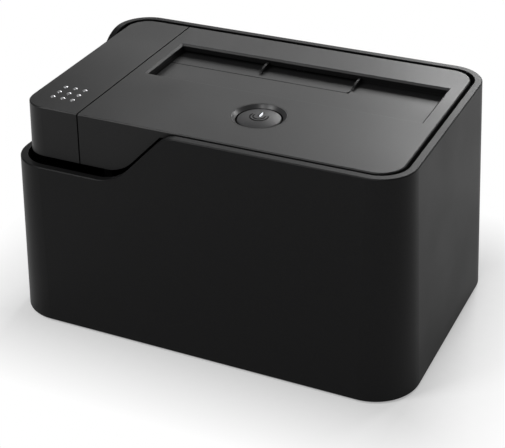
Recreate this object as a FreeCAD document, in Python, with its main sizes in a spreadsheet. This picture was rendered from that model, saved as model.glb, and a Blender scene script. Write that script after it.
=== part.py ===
import FreeCAD, Part
import math
import os
import Sketcher
from FreeCAD import Placement, Rotation, Vector

# Hard drive docking station: a drafted tub, a cover with a drive slot, an eject lever, two sprung flaps,
# a power button and the board inside. Millimetres, +X right, +Y back, +Z up, origin on the table
# below the middle of the case.

doc = FreeCAD.newDocument("docking_station")
sheet = doc.addObject("Spreadsheet::Sheet", "sizes")

# Driving dimensions
SIZES = (
    ("shell_width", 145.8, "outside width across the rim"),
    ("shell_depth", 91.9, "outside depth across the rim"),
    ("shell_height", 83.4, "height of the rim above the table"),
    ("corner_radius", 12.7, "upright corners, at the rim"),
    ("draft_angle", 2.7, "degrees that the walls spread towards the base"),
    ("shell_wall", 2.6, "tub wall"),
    ("rim_bevel", 0.35, "edges of the rim"),
    ("low_rim_height", 62.6, "height of the cut-down rim round the lever"),
    ("scoop_angle", 46.0, "degrees of slope between the low and the full rim"),
    ("scoop_foot_radius", 17.0, "hollow curve at the foot of the slope"),
    ("scoop_crest_radius", 10.0, "round curve at the top of the front slope"),
    ("side_crest_radius", 14.0, "round curve at the top of the side slope"),
    ("scoop_front_end", 66.7, "from the left side to where the front rim is whole"),
    ("scoop_side_end", 79.2, "from the front to where the left rim is whole"),
    ("lid_gap", 1.6, "tub wall to cover or lever"),
    ("lid_plate", 2.5, "top plate of cover and lever"),
    ("lid_wall", 2.0, "skirt of cover and lever"),
    ("skirt_depth", 18.5, "height of the skirt"),
    ("lid_bevel", 0.35, "outer top edge of cover and lever"),
    ("scoop_play", 0.8, "slope of the rim to the cover's skirt, square to the slope"),
    ("scoop_lap", 0.1, "how far below the skirt its curve begins"),
    ("seam_from_left", 27.1, "left side to the middle of the seam"),
    ("seam_gap", 0.5, "cover to lever"),
    ("ledge_width", 2.4, "ribs in the tub that carry the cover"),
    ("ledge_height", 24.0, "length of those ribs"),
    ("ledge_near", 25.0, "middle of the case to the inner ribs"),
    ("ledge_far", 52.0, "middle of the case to the outer ribs"),
    ("ledge_side", 23.0, "middle of the case to the ribs of the right wall"),
    ("drive_width", 101.6, "3.5 inch drive"),
    ("drive_thickness", 26.1, "3.5 inch drive"),
    ("width_play", 2.0, "slot over drive, side to side"),
    ("thickness_play", 1.9, "slot over drive, front to back"),
    ("slot_from_right", 9.55, "right side to the slot"),
    ("slot_from_front", 43.55, "front to the slot"),
    ("slot_chamfer", 0.7, "bevel round the slot"),
    ("small_drive_width", 69.85, "2.5 inch drive"),
    ("small_drive_thickness", 9.5, "2.5 inch drive"),
    ("small_play", 0.6, "2.5 inch bay over drive"),
    ("flap_recess", 3.2, "flap top below the cover top"),
    ("flap_plate", 2.0, "flap thickness"),
    ("flap_gap", 0.3, "round each flap"),
    ("flap_corner", 1.4, "free corner of the small flap"),
    ("fin_height", 1.9, "guide fins on the flaps"),
    ("fin_width", 0.8, "guide fins on the flaps"),
    ("fin_length", 7.2, "guide fins on the flaps"),
    ("fin_steps", 4, "straight runs along a fin's back"),
    ("hinge_pin_radius", 0.8, "flap pins"),
    ("hinge_knuckle", 1.5, "radius round the flap pins"),
    ("pin_play", 0.05, "running clearance on a pin's radius"),
    ("spring_notch", 3.6, "gap in a knuckle for its spring"),
    ("small_notch_offset", 12.0, "that gap right of the small flap's middle"),
    ("pin_sunk", 1.2, "flap pins into the bay's end walls"),
    ("bay_wall", 2.0, "drive bay walls"),
    ("pocket_wall", 1.5, "wall behind a folded flap"),
    ("bay_floor_top", 23.0, "what the drive stands on"),
    ("bay_floor", 2.0, "thickness of the floor"),
    ("ear_drop", 6.0, "bosses below the cover plate"),
    ("ear_plate", 2.5, "fixing ears of the bay"),
    ("ear_inset", 9.0, "fixing ears from the slot's ends"),
    ("leg_left_inset", 2.8, "slot's left end to the back leg"),
    ("leg_right_inset", 3.4, "slot's right end to the leg below the floor"),
    ("boss_radius", 2.8, "screw bosses"),
    ("boss_sides", 8, "flats of bosses and screw heads inside the case"),
    ("bore_sides", 6, "flats of screws and their holes"),
    ("can_sides", 12, "flats of capacitors, grip dots and the cap's inside"),
    ("base_thread", 8.0, "screws through the base"),
    ("board_thread", 5.0, "screws of the main board"),
    ("bay_thread", 6.5, "screws of the bay"),
    ("button_thread", 6.0, "screws of the button board"),
    ("blind_end", 0.6, "plastic left past a blind hole"),
    ("screw_radius", 0.95, "self-tapping screws"),
    ("screw_head_radius", 1.9, "pan heads"),
    ("screw_head", 1.3, "pan heads"),
    ("hole_play", 0.3, "clearance holes over screws, on the radius"),
    ("foot_radius", 5.5, "rubber feet"),
    ("foot_sides", 24, "flats of the feet"),
    ("foot_proud", 0.8, "feet below the base"),
    ("foot_sunk", 0.9, "feet inside the base"),
    ("foot_inset_x", 17.5, "feet from the rim line"),
    ("foot_inset_y", 12.5, "feet from the rim line"),
    ("base_plate", 2.4, "base thickness"),
    ("base_gap", 0.2, "base to tub"),
    ("post_radius", 3.2, "corner posts of the tub"),
    ("post_height", 14.0, "corner posts of the tub"),
    ("post_inset", 7.0, "corner posts from the inner walls"),
    ("standoff_height", 4.8, "board above the base plate"),
    ("board_thickness", 1.6, "circuit boards"),
    ("board_left", 39.9, "left side to the main board"),
    ("board_right", 18.9, "right side to the main board"),
    ("board_front", 23.9, "front to the main board"),
    ("board_back", 2.6, "back of the rim to the main board"),
    ("plug_from_bay_left", 31.5, "bay side to the middle of the drive connector"),
    ("plug_from_bay_back", 4.2, "bay back to the middle of the drive connector"),
    ("plug_length", 42.4, "drive connector"),
    ("plug_thickness", 5.8, "drive connector"),
    ("plug_slot", 1.4, "wall of the drive connector"),
    ("plug_depth", 6.0, "depth of its mouth"),
    ("contact_count", 22, "contacts of the drive connector"),
    ("contact_pitch", 1.46, "contact spacing"),
    ("contact_width", 0.7, "contact strips"),
    ("contact_thickness", 0.3, "contact strips"),
    ("contact_sunk", 1.0, "contacts below the connector's top"),
    ("window_play", 0.5, "floor windows over what passes through"),
    ("usb_width", 12.0, "square socket shell"),
    ("usb_height", 10.8, "square socket shell"),
    ("usb_length", 16.0, "square socket shell"),
    ("usb_sheet", 0.7, "metal of the socket shell"),
    ("usb_rear", 5.0, "closed rear of the socket shell"),
    ("tongue_width", 5.6, "contact tongue"),
    ("tongue_height", 3.2, "contact tongue"),
    ("tongue_sunk", 1.2, "tongue behind the socket's mouth"),
    ("usb_from_left", 80.9, "left side to the middle of the socket"),
    ("jack_width", 9.0, "power jack"),
    ("jack_height", 11.0, "power jack"),
    ("jack_length", 14.0, "power jack"),
    ("jack_bore", 3.15, "radius of the power jack's mouth"),
    ("jack_pin", 1.0, "radius of its pin"),
    ("jack_depth", 9.5, "depth of its mouth"),
    ("jack_bore_rise", 0.3, "mouth above the middle of the jack"),
    ("jack_pin_sunk", 1.5, "pin behind the mouth"),
    ("jack_from_left", 114.9, "left side to the middle of the jack"),
    ("port_recess", 0.6, "sockets behind the tub's back, at their own height"),
    ("port_play", 0.4, "tub cut-outs round the sockets"),
    ("chip_side", 12.0, "bridge chip"),
    ("chip_height", 1.4, "bridge chip"),
    ("chip_from_right", 30.0, "board edge to the bridge chip"),
    ("chip_from_front", 14.0, "board edge to the bridge chip"),
    ("capacitor_radius", 3.15, "board capacitors"),
    ("capacitor_height", 7.0, "board capacitors"),
    ("capacitor_count", 3, "board capacitors"),
    ("capacitor_pitch", 9.0, "board capacitors"),
    ("capacitor_from_right", 8.0, "board edge to the capacitors"),
    ("capacitor_from_front", 14.0, "board edge to the first capacitor"),
    ("inductor_side", 7.0, "board inductor"),
    ("inductor_height", 3.6, "board inductor"),
    ("inductor_from_right", 20.0, "board edge to the inductor"),
    ("inductor_from_front", 32.0, "board edge to the inductor"),
    ("button_from_left", 84.6, "left side to the button"),
    ("button_from_front", 26.9, "front to the button"),
    ("ring_radius", 9.8, "dished ring round the button"),
    ("ring_height", 5.7, "ring, top to bottom"),
    ("ring_dish", 1.4, "depth of the ring's slope"),
    ("cap_radius", 7.85, "button cap"),
    ("cap_play", 0.2, "ring to cap"),
    ("cap_sunk", 1.0, "cap edge below the cover top"),
    ("cap_crown", 0.9, "rise of the cap to its middle"),
    ("crown_steps", 2, "cones that make up the crown"),
    ("cap_height", 5.4, "cap skirt"),
    ("cap_wall", 1.2, "cap walls"),
    ("button_travel", 1.0, "stroke"),
    ("stem_radius", 1.8, "stem below the cap"),
    ("stem_offset", 3.6, "stem in front of the cap's middle"),
    ("bar_width", 0.9, "light bar"),
    ("bar_length", 3.4, "light bar"),
    ("bar_drop", 7.5, "light bar below the cap"),
    ("switch_side", 6.0, "push switch"),
    ("switch_height", 3.5, "push switch"),
    ("plunger_radius", 1.7, "push switch"),
    ("plunger_proud", 1.5, "push switch"),
    ("plunger_sunk", 1.2, "plunger inside the switch"),
    ("led_width", 1.6, "light under the bar"),
    ("led_depth", 2.0, "light under the bar"),
    ("led_height", 1.0, "light under the bar"),
    ("ribbon_width", 8.0, "lead between the boards"),
    ("ribbon_thickness", 0.4, "lead between the boards"),
    ("ribbon_offset", 2.0, "lead in front of the button's middle"),
    ("header_width", 10.0, "connectors of the lead"),
    ("header_depth", 4.0, "connectors of the lead"),
    ("header_height", 2.6, "connectors of the lead"),
    ("button_board_width", 33.0, "board below the button"),
    ("button_board_depth", 18.0, "board below the button"),
    ("button_board_drop", 13.0, "its underside below the cover plate's top, less one board"),
    ("lever_pivot_from_back", 9.45, "back of the rim to the lever pin"),
    ("lever_pivot_drop", 8.6, "cover top to the lever pin"),
    ("lever_pin_radius", 1.5, "lever pin"),
    ("lever_lug", 2.8, "lug radius"),
    ("lug_width", 2.4, "lug width"),
    ("lug_from_seam", 4.0, "lever's right side to the first lug"),
    ("lug_from_rod", 1.0, "push rod's middle to the second lug"),
    ("lever_pin_proud", 1.0, "lever pin past the second lug"),
    ("grip_count", 3, "grip dots along each row"),
    ("grip_radius", 0.85, "grip dots"),
    ("grip_pitch_x", 3.93, "across"),
    ("grip_pitch_y", 4.2, "front to back"),
    ("grip_from_left", 15.9, "left side to the middle dot"),
    ("grip_from_front", 17.4, "front to the middle dot"),
    ("grip_proud", 0.35, "above the lever"),
    ("rod_width", 3.2, "push rod of the lever"),
    ("rod_from_left", 14.9, "left side to the push rod"),
    ("rod_from_pivot", 41.0, "lever pin to the push rod"),
    ("rod_rib_length", 24.0, "rib that stiffens the rod's root"),
    ("rod_rib_depth", 9.0, "rib that stiffens the rod's root"),
    ("contact_gap", 0.3, "between pieces that push each other"),
    ("rocker_pivot_height", 11.6, "rocker pin above the table"),
    ("rocker_short_arm", 16.0, "push rod to rocker pin"),
    ("rocker_long_arm", 26.0, "rocker pin to the slider's ridge"),
    ("rocker_plate", 2.2, "thickness of the arms"),
    ("rocker_width", 9.0, "rocker, front to back"),
    ("rocker_hub", 2.9, "radius round the pin"),
    ("rocker_pin_radius", 1.25, "rocker pin"),
    ("ridge_radius", 1.3, "rounded end of the long arm"),
    ("cheek", 2.0, "cheeks that hold the rocker pin"),
    ("slider_plate", 1.8, "ejector slider"),
    ("pad_width", 6.5, "lifting pads beside the connector"),
    ("pad_gap", 1.6, "connector to pad"),
    ("pad_sunk", 0.3, "pads below the bay floor at rest"),
    ("pad_from_front", 8.4, "slot front to the pads"),
    ("pad_from_back", 1.7, "pads to the slot back"),
    ("pin_from_pad", 3.2, "slider's pins in front of the pads"),
    ("slider_set_back", 1.0, "rocker's front to the slider's front"),
    ("guide_pin_radius", 1.5, "pins that the slider runs on"),
    ("spring_wire", 0.25, "middle of the springs' square wire to its corners"),
    ("spring_play", 0.1, "spring round its pin"),
    ("spring_runs", 8, "straight runs in each turn"),
    ("spring_seat", 2.0, "height of the return spring's seat"),
    ("ejector_coils", 3, "turns"),
    ("return_coils", 4, "turns"),
    ("flap_coils", 3, "turns"),
)
for row, (name, value, note) in enumerate(SIZES, start=1):
    sheet.set(f"A{row}", name)
    sheet.set(f"B{row}", str(value))
    sheet.set(f"C{row}", note)
    sheet.setAlias(f"B{row}", name)
doc.recompute()


class Size:
    """A length written as a formula of the sheet's cells."""

    def __init__(self, formula):
        self.formula = formula

    def __add__(self, other):
        return Size(f"({self.formula} + {text_of(other)})")

    def __radd__(self, other):
        return Size(f"({text_of(other)} + {self.formula})")

    def __sub__(self, other):
        return Size(f"({self.formula} - {text_of(other)})")

    def __rsub__(self, other):
        return Size(f"({text_of(other)} - {self.formula})")

    def __mul__(self, other):
        return Size(f"({self.formula} * {text_of(other)})")

    def __truediv__(self, other):
        return Size(f"({self.formula} / {text_of(other)})")

    def __neg__(self):
        return Size(f"(0 - {self.formula})")

    def __float__(self):
        return float(sheet.evalExpression(self.formula))


def text_of(value):
    return value.formula if isinstance(value, Size) else f"{float(value):.6f}"


class Cells:
    """dim.shell_wall is the Size of that cell."""

    def __getattr__(self, name):
        return Size("sizes." + name)


dim = Cells()


def value_of(name):
    return float(getattr(dim, name))


def count_of(name):
    return int(value_of(name))


def sine(angle):
    return Size(f"sin({angle.formula} * 1 deg)")


def cosine(angle):
    return Size(f"cos({angle.formula} * 1 deg)")


def tangent(angle):
    return Size(f"tan({angle.formula} * 1 deg)")


def bind(obj, prop, value):
    obj.setExpression(prop, text_of(value))


# The sketch planes: which row axes a sketch's own x and y follow, and which way its normal points
PLANES = {"z": ("XY_Plane", 1), "y": ("XZ_Plane", -1), "x": ("YZ_Plane", 1)}


class Piece:
    """One moulded or machined piece: a body whose features are added one by one."""

    def __init__(self, label):
        self.body = doc.addObject("PartDesign::Body", label)
        self.body.Label = label

    def sketch(self, name, along, level):
        """A sketch square to an axis, at a level along it."""
        role, sense = PLANES[along]
        sketch = self.body.newObject("Sketcher::SketchObject", name + "_sketch")
        plane = [item for item in self.body.Origin.OriginFeatures if item.Role == role][0]
        sketch.AttachmentSupport = [(plane, "")]
        sketch.MapMode = "FlatFace"
        bind(sketch, "AttachmentOffset.Base.z", level if sense > 0 else -level)
        return sketch

    def extrude(self, name, along, span, draw, adding, taper=None, downwards=False):
        """Pad or pocket of what draw puts in a sketch, from span's low end to its high end."""
        low, high = span
        forward = (PLANES[along][1] > 0) == adding
        if downwards:
            forward = not forward
        sketch = self.sketch(name, along, low if forward else high)
        draw(sketch)
        kind = "PartDesign::Pad" if adding else "PartDesign::Pocket"
        feature = self.body.newObject(kind, name)
        feature.Profile = sketch
        feature.Reversed = downwards
        bind(feature, "Length", high - low)
        if taper is not None:
            bind(feature, "TaperAngle", taper)
        sketch.Visibility = False
        return feature

    def block(self, name, x, y, z, adding=True):
        flat = self.extrude(name, "z", z, lambda sketch: rectangle(sketch, x, y), adding)
        return flat

    def slot(self, name, x, y, z):
        return self.block(name, x, y, z, adding=False)

    def disc(self, name, centre, radius, z, adding=True):
        return self.extrude(name, "z", z, lambda sketch: circle(sketch, centre, radius), adding)

    def hole(self, name, centre, radius, z):
        return self.disc(name, centre, radius, z, adding=False)

    def boss(self, name, centre, radius, z, adding=True, flats="boss_sides"):
        """A many-sided post or recess that is never seen."""
        sides = count_of(flats)
        return self.extrude(name, "z", z, lambda sketch: regular(sketch, centre, radius, sides), adding)

    def bore(self, name, centre, radius, z):
        """A screw hole with a few flats."""
        sides = count_of("bore_sides")
        return self.extrude(name, "z", z, lambda sketch: regular(sketch, centre, radius, sides), False)

    def rod(self, name, along, centre, radius, span, adding=True):
        return self.extrude(name, along, span, lambda sketch: circle(sketch, centre, radius), adding)

    def dress(self, kind, name, size, wanted):
        """A fillet or chamfer on the edges that wanted accepts."""
        doc.recompute()
        base = self.body.Tip
        names = [f"Edge{number}" for number, edge in enumerate(base.Shape.Edges, start=1) if wanted(edge)]
        if not names:
            raise RuntimeError(f"no edge found for {name}")
        feature = self.body.newObject("PartDesign::" + kind, name)
        feature.Base = (base, names)
        bind(feature, "Radius" if kind == "Fillet" else "Size", size)
        return feature


# Sketch outlines
def held(sketch, kind, geometry, point, value):
    """Fix one coordinate of a point by a formula."""
    number = sketch.addConstraint(Sketcher.Constraint(kind, -1, 1, geometry, point, float(value)))
    bind(sketch, f"Constraints[{number}]", value)


def straight(sketch, start, end):
    first = Vector(float(start[0]), float(start[1]), 0)
    last = Vector(float(end[0]), float(end[1]), 0)
    return sketch.addGeometry(Part.LineSegment(first, last))


def polygon(sketch, points):
    """A closed outline whose corners are all held by formulas."""
    count = len(points)
    lines = [straight(sketch, points[i], points[(i + 1) % count]) for i in range(count)]
    for i, line in enumerate(lines):
        sketch.addConstraint(Sketcher.Constraint("Coincident", line, 2, lines[(i + 1) % count], 1))
        held(sketch, "DistanceX", line, 1, points[i][0])
        held(sketch, "DistanceY", line, 1, points[i][1])


def rectangle(sketch, x, y):
    polygon(sketch, [(x[0], y[0]), (x[1], y[0]), (x[1], y[1]), (x[0], y[1])])


def regular(sketch, centre, radius, sides):
    """A regular outline with its first corner towards +X."""
    turns = [2 * math.pi * number / sides for number in range(sides)]
    polygon(sketch, [(centre[0] + radius * math.cos(turn), centre[1] + radius * math.sin(turn))
                     for turn in turns])


def circle(sketch, centre, radius):
    middle = Vector(float(centre[0]), float(centre[1]), 0)
    ring = sketch.addGeometry(Part.Circle(middle, Vector(0, 0, 1), float(radius)))
    number = sketch.addConstraint(Sketcher.Constraint("Radius", ring, float(radius)))
    bind(sketch, f"Constraints[{number}]", radius)
    held(sketch, "DistanceX", ring, 3, centre[0])
    held(sketch, "DistanceY", ring, 3, centre[1])


def rounded_rectangle(sketch, x, y, radius):
    left, right, front, back, curve = (float(value) for value in (*x, *y, radius))
    corners = (
        ((left + curve, front), (right - curve, front), (right - curve, front + curve), 270),
        ((right, front + curve), (right, back - curve), (right - curve, back - curve), 0),
        ((right - curve, back), (left + curve, back), (left + curve, back - curve), 90),
        ((left, back - curve), (left, front + curve), (left + curve, front + curve), 180),
    )
    outline = []
    for start, end, middle, turn in corners:
        outline.append(straight(sketch, start, end))
        arc = Part.Circle(Vector(*middle, 0), Vector(0, 0, 1), curve)
        bend = Part.ArcOfCircle(arc, math.radians(turn), math.radians(turn + 90))
        outline.append(sketch.addGeometry(bend))
    for i, item in enumerate(outline):
        sketch.addConstraint(Sketcher.Constraint("Tangent", item, 2, outline[(i + 1) % 8], 1))
    for item in outline[0::4]:
        sketch.addConstraint(Sketcher.Constraint("Horizontal", item))
    for item in outline[2::4]:
        sketch.addConstraint(Sketcher.Constraint("Vertical", item))
    for item in outline[3::2]:
        sketch.addConstraint(Sketcher.Constraint("Equal", outline[1], item))
    number = sketch.addConstraint(Sketcher.Constraint("Radius", outline[1], curve))
    bind(sketch, f"Constraints[{number}]", radius)
    held(sketch, "DistanceY", outline[0], 1, y[0])
    held(sketch, "DistanceX", outline[2], 1, x[1])
    held(sketch, "DistanceY", outline[4], 1, y[1])
    held(sketch, "DistanceX", outline[6], 1, x[0])


def around(middle, reach):
    return (middle - reach, middle + reach)


# Simple solids that are bought in or pressed: boards, pins, screws, chips
def box(label, x, y, z):
    solid = doc.addObject("Part::Box", label)
    solid.Label = label
    for prop, span in (("Length", x), ("Width", y), ("Height", z)):
        bind(solid, prop, span[1] - span[0])
    for prop, span in (("x", x), ("y", y), ("z", z)):
        bind(solid, "Placement.Base." + prop, span[0])
    return solid


def cylinder(label, centre, radius, span, along="z"):
    """A round solid along an axis; centre holds the two other coordinates, in row order."""
    solid = doc.addObject("Part::Cylinder", label)
    solid.Label = label
    turns = {"z": Rotation(), "y": Rotation(Vector(1, 0, 0), -90), "x": Rotation(Vector(0, 1, 0), 90)}
    solid.Placement = Placement(Vector(), turns[along])
    places = dict(zip([axis for axis in "xyz" if axis != along], centre))
    places[along] = span[0]
    for axis, place in places.items():
        bind(solid, "Placement.Base." + axis, place)
    bind(solid, "Radius", radius)
    bind(solid, "Height", span[1] - span[0])
    return solid


def prism(label, centre, radius, span, sides):
    """An upright solid with a regular outline."""
    solid = doc.addObject("Part::Prism", label)
    solid.Label = label
    solid.Polygon = sides
    bind(solid, "Circumradius", radius)
    bind(solid, "Height", span[1] - span[0])
    for axis, place in zip("xyz", (*centre, span[0])):
        bind(solid, "Placement.Base." + axis, place)
    return solid


def minus(label, base, *tools):
    """base with tools taken away."""
    for number, tool in enumerate(tools, start=1):
        last = number == len(tools)
        cut = doc.addObject("Part::Cut", label if last else f"{label}_cut_{number}")
        cut.Base = base
        cut.Tool = tool
        base = cut
    base.Label = label
    return base


def plus(label, *solids):
    joined = doc.addObject("Part::MultiFuse", label)
    joined.Shapes = list(solids)
    joined.Label = label
    return joined


def group(label, solids):
    bunch = doc.addObject("Part::Compound", label)
    bunch.Links = list(solids)
    bunch.Label = label
    return bunch


def screw(label, centre, head_under, thread, upwards):
    """A pan-head screw; head_under is the level that its head bears on."""
    if upwards:
        head = (head_under - dim.screw_head, head_under)
        shank = (head_under, head_under + thread)
    else:
        head = (head_under, head_under + dim.screw_head)
        shank = (head_under - thread, head_under)
    return plus(
        label,
        prism(label + "_head", centre, dim.screw_head_radius, head, count_of("boss_sides")),
        prism(label + "_shank", centre, dim.screw_radius, shank, count_of("bore_sides")),
    )


# Places that several pieces share
left = -dim.shell_width / 2
right = dim.shell_width / 2
front = -dim.shell_depth / 2
back = dim.shell_depth / 2
top = dim.shell_height
spread = tangent(dim.draft_angle)
lid_inset = dim.shell_wall + dim.lid_gap
lid_x = (left + lid_inset, right - lid_inset)
lid_y = (front + lid_inset, back - lid_inset)
lid_corner = dim.corner_radius - lid_inset
skirt_bottom = top - dim.skirt_depth
plate_under = top - dim.lid_plate
seam = left + dim.seam_from_left
cover_left = seam + dim.seam_gap / 2
lever_right = seam - dim.seam_gap / 2
base_bottom = dim.foot_proud
base_top = base_bottom + dim.base_plate
base_screw_end = base_bottom + dim.screw_head + dim.base_thread

slot_x = (right - dim.slot_from_right - dim.drive_width - dim.width_play, right - dim.slot_from_right)
slot_front = front + dim.slot_from_front
slot_y = (slot_front, slot_front + dim.drive_thickness + dim.thickness_play)
flap_top = top - dim.flap_recess
flap_under = flap_top - dim.flap_plate
hinge_z = flap_top - dim.flap_plate / 2
hinge_set_back = dim.flap_plate / 2 + dim.fin_height
large_hinge_y = slot_y[0] - hinge_set_back
small_hinge_y = slot_y[1] + hinge_set_back
small_right = slot_x[0] + dim.small_drive_width + dim.small_play
small_front = slot_y[1] - dim.small_drive_thickness - dim.small_play
pocket_clear = dim.hinge_knuckle + dim.flap_gap
front_pocket = large_hinge_y - pocket_clear
back_pocket = small_hinge_y + pocket_clear
large_reach = slot_y[1] - large_hinge_y
small_reach = small_hinge_y - small_front

board_under = base_top + dim.standoff_height
board_top = board_under + dim.board_thickness
board_x = (left + dim.board_left, right - dim.board_right)
board_y = (front + dim.board_front, back - dim.board_back)
floor_under = dim.bay_floor_top - dim.bay_floor
plug_x = slot_x[0] + dim.plug_from_bay_left
plug_y = slot_y[1] - dim.plug_from_bay_back

button_x = left + dim.button_from_left
button_y = front + dim.button_from_front
cap_edge = top - dim.cap_sunk
button_board_under = plate_under - dim.button_board_drop
button_board_top = button_board_under + dim.board_thickness

lever_pivot = (back - dim.lever_pivot_from_back, top - dim.lever_pivot_drop)
rod_x = left + dim.rod_from_left
rod_y = lever_pivot[0] - dim.rod_from_pivot
rocker_x = rod_x + dim.rocker_short_arm
rocker_y = around(rod_y, dim.rocker_width / 2)
rocker_top = dim.rocker_pivot_height + dim.rocker_plate / 2
rod_bottom = rocker_top + dim.contact_gap
ridge_x = rocker_x + dim.rocker_long_arm
slider_under = rocker_top + dim.contact_gap
slider_top = slider_under + dim.slider_plate
pad_reach = dim.plug_length / 2 + dim.pad_gap
pad_left_x = (plug_x - pad_reach - dim.pad_width, plug_x - pad_reach)
pad_right_x = (plug_x + pad_reach, plug_x + pad_reach + dim.pad_width)
pad_y = (slot_y[0] + dim.pad_from_front, slot_y[1] - dim.pad_from_back)
guide_pins = [((x[0] + x[1]) / 2, pad_y[0] - dim.pin_from_pad) for x in (pad_left_x, pad_right_x)]
corner_signs = [(-1, -1), (1, -1), (1, 1), (-1, 1)]

# How close a point must lie to a level or outline to count as on it, and the steepest edge of the rim
NEAR = 0.01
RIM_RISE = 0.8


def on_outline(point, inset, slack=0.02):
    """True where a point lies on the drafted upright faces, inset from the outside."""
    grow = float(spread) * (float(top) - point.z) - inset
    half_x = float(right) + grow
    half_y = float(back) + grow
    curve = float(dim.corner_radius) + grow
    over_x = abs(point.x) - (half_x - curve)
    over_y = abs(point.y) - (half_y - curve)
    if over_x > 0 and over_y > 0:
        return abs(math.hypot(over_x, over_y) - curve) < slack
    return abs(max(over_x, over_y) - curve) < slack


def edge_middle(edge):
    return edge.valueAt((edge.FirstParameter + edge.LastParameter) / 2)


def edge_rise(edge):
    """How steep an edge is at its middle, from 0 to 1."""
    heading = edge.tangentAt((edge.FirstParameter + edge.LastParameter) / 2)
    return abs(heading.z) / heading.Length


# The tub's scooped rim is the feature that takes the most skill: a level low rim, a hollow curve,
# a slope and a round crest, cut through a drafted wall on the front and again on the left side.
def scoop(sketch, start, end, crest):
    """Region above the rim line: level from start, then up by two arcs to full height at end."""
    low = dim.low_rim_height
    rise = top - low
    slope = dim.scoop_angle
    foot_run = dim.scoop_foot_radius * sine(slope)
    foot_rise = dim.scoop_foot_radius * (1 - cosine(slope))
    crest_run = crest * sine(slope)
    crest_rise = crest * (1 - cosine(slope))
    slope_run = (rise - foot_rise - crest_rise) / tangent(slope)
    foot_end = end - crest_run - slope_run
    foot_start = foot_end - foot_run
    above = top + dim.shell_wall
    turn = math.radians(float(slope))
    foot = Part.Circle(Vector(float(foot_start), float(low + dim.scoop_foot_radius), 0), Vector(0, 0, 1),
                       float(dim.scoop_foot_radius))
    crown = Part.Circle(Vector(float(end), float(top - crest), 0), Vector(0, 0, 1), float(crest))
    level = straight(sketch, (start, low), (foot_start, low))
    foot_arc = sketch.addGeometry(Part.ArcOfCircle(foot, math.radians(270), math.radians(270) + turn))
    ramp = straight(sketch, (foot_end, low + foot_rise), (end - crest_run, top - crest_rise))
    crown_arc = sketch.addGeometry(Part.ArcOfCircle(crown, math.radians(90), math.radians(90) + turn))
    riser = straight(sketch, (end, top), (end, above))
    roof = straight(sketch, (end, above), (start, above))
    closing = straight(sketch, (start, above), (start, low))
    joints = ((level, 2, foot_arc, 1), (foot_arc, 2, ramp, 1), (ramp, 2, crown_arc, 2))
    for first, first_end, second, second_end in joints:
        sketch.addConstraint(Sketcher.Constraint("Tangent", first, first_end, second, second_end))
    ends = ((crown_arc, 1, riser, 1), (riser, 2, roof, 1), (roof, 2, closing, 1), (closing, 2, level, 1))
    for first, first_end, second, second_end in ends:
        sketch.addConstraint(Sketcher.Constraint("Coincident", first, first_end, second, second_end))
    sketch.addConstraint(Sketcher.Constraint("Horizontal", level))
    sketch.addConstraint(Sketcher.Constraint("Vertical", riser))
    sketch.addConstraint(Sketcher.Constraint("Horizontal", roof))
    sketch.addConstraint(Sketcher.Constraint("Vertical", closing))
    for arc, radius in ((foot_arc, dim.scoop_foot_radius), (crown_arc, crest)):
        number = sketch.addConstraint(Sketcher.Constraint("Radius", arc, float(radius)))
        bind(sketch, f"Constraints[{number}]", radius)
    held(sketch, "DistanceX", level, 1, start)
    held(sketch, "DistanceY", level, 1, low)
    held(sketch, "DistanceX", crown_arc, 3, end)
    held(sketch, "DistanceY", crown_arc, 3, top - crest)
    held(sketch, "DistanceX", riser, 1, end)
    held(sketch, "DistanceY", roof, 1, above)


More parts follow.
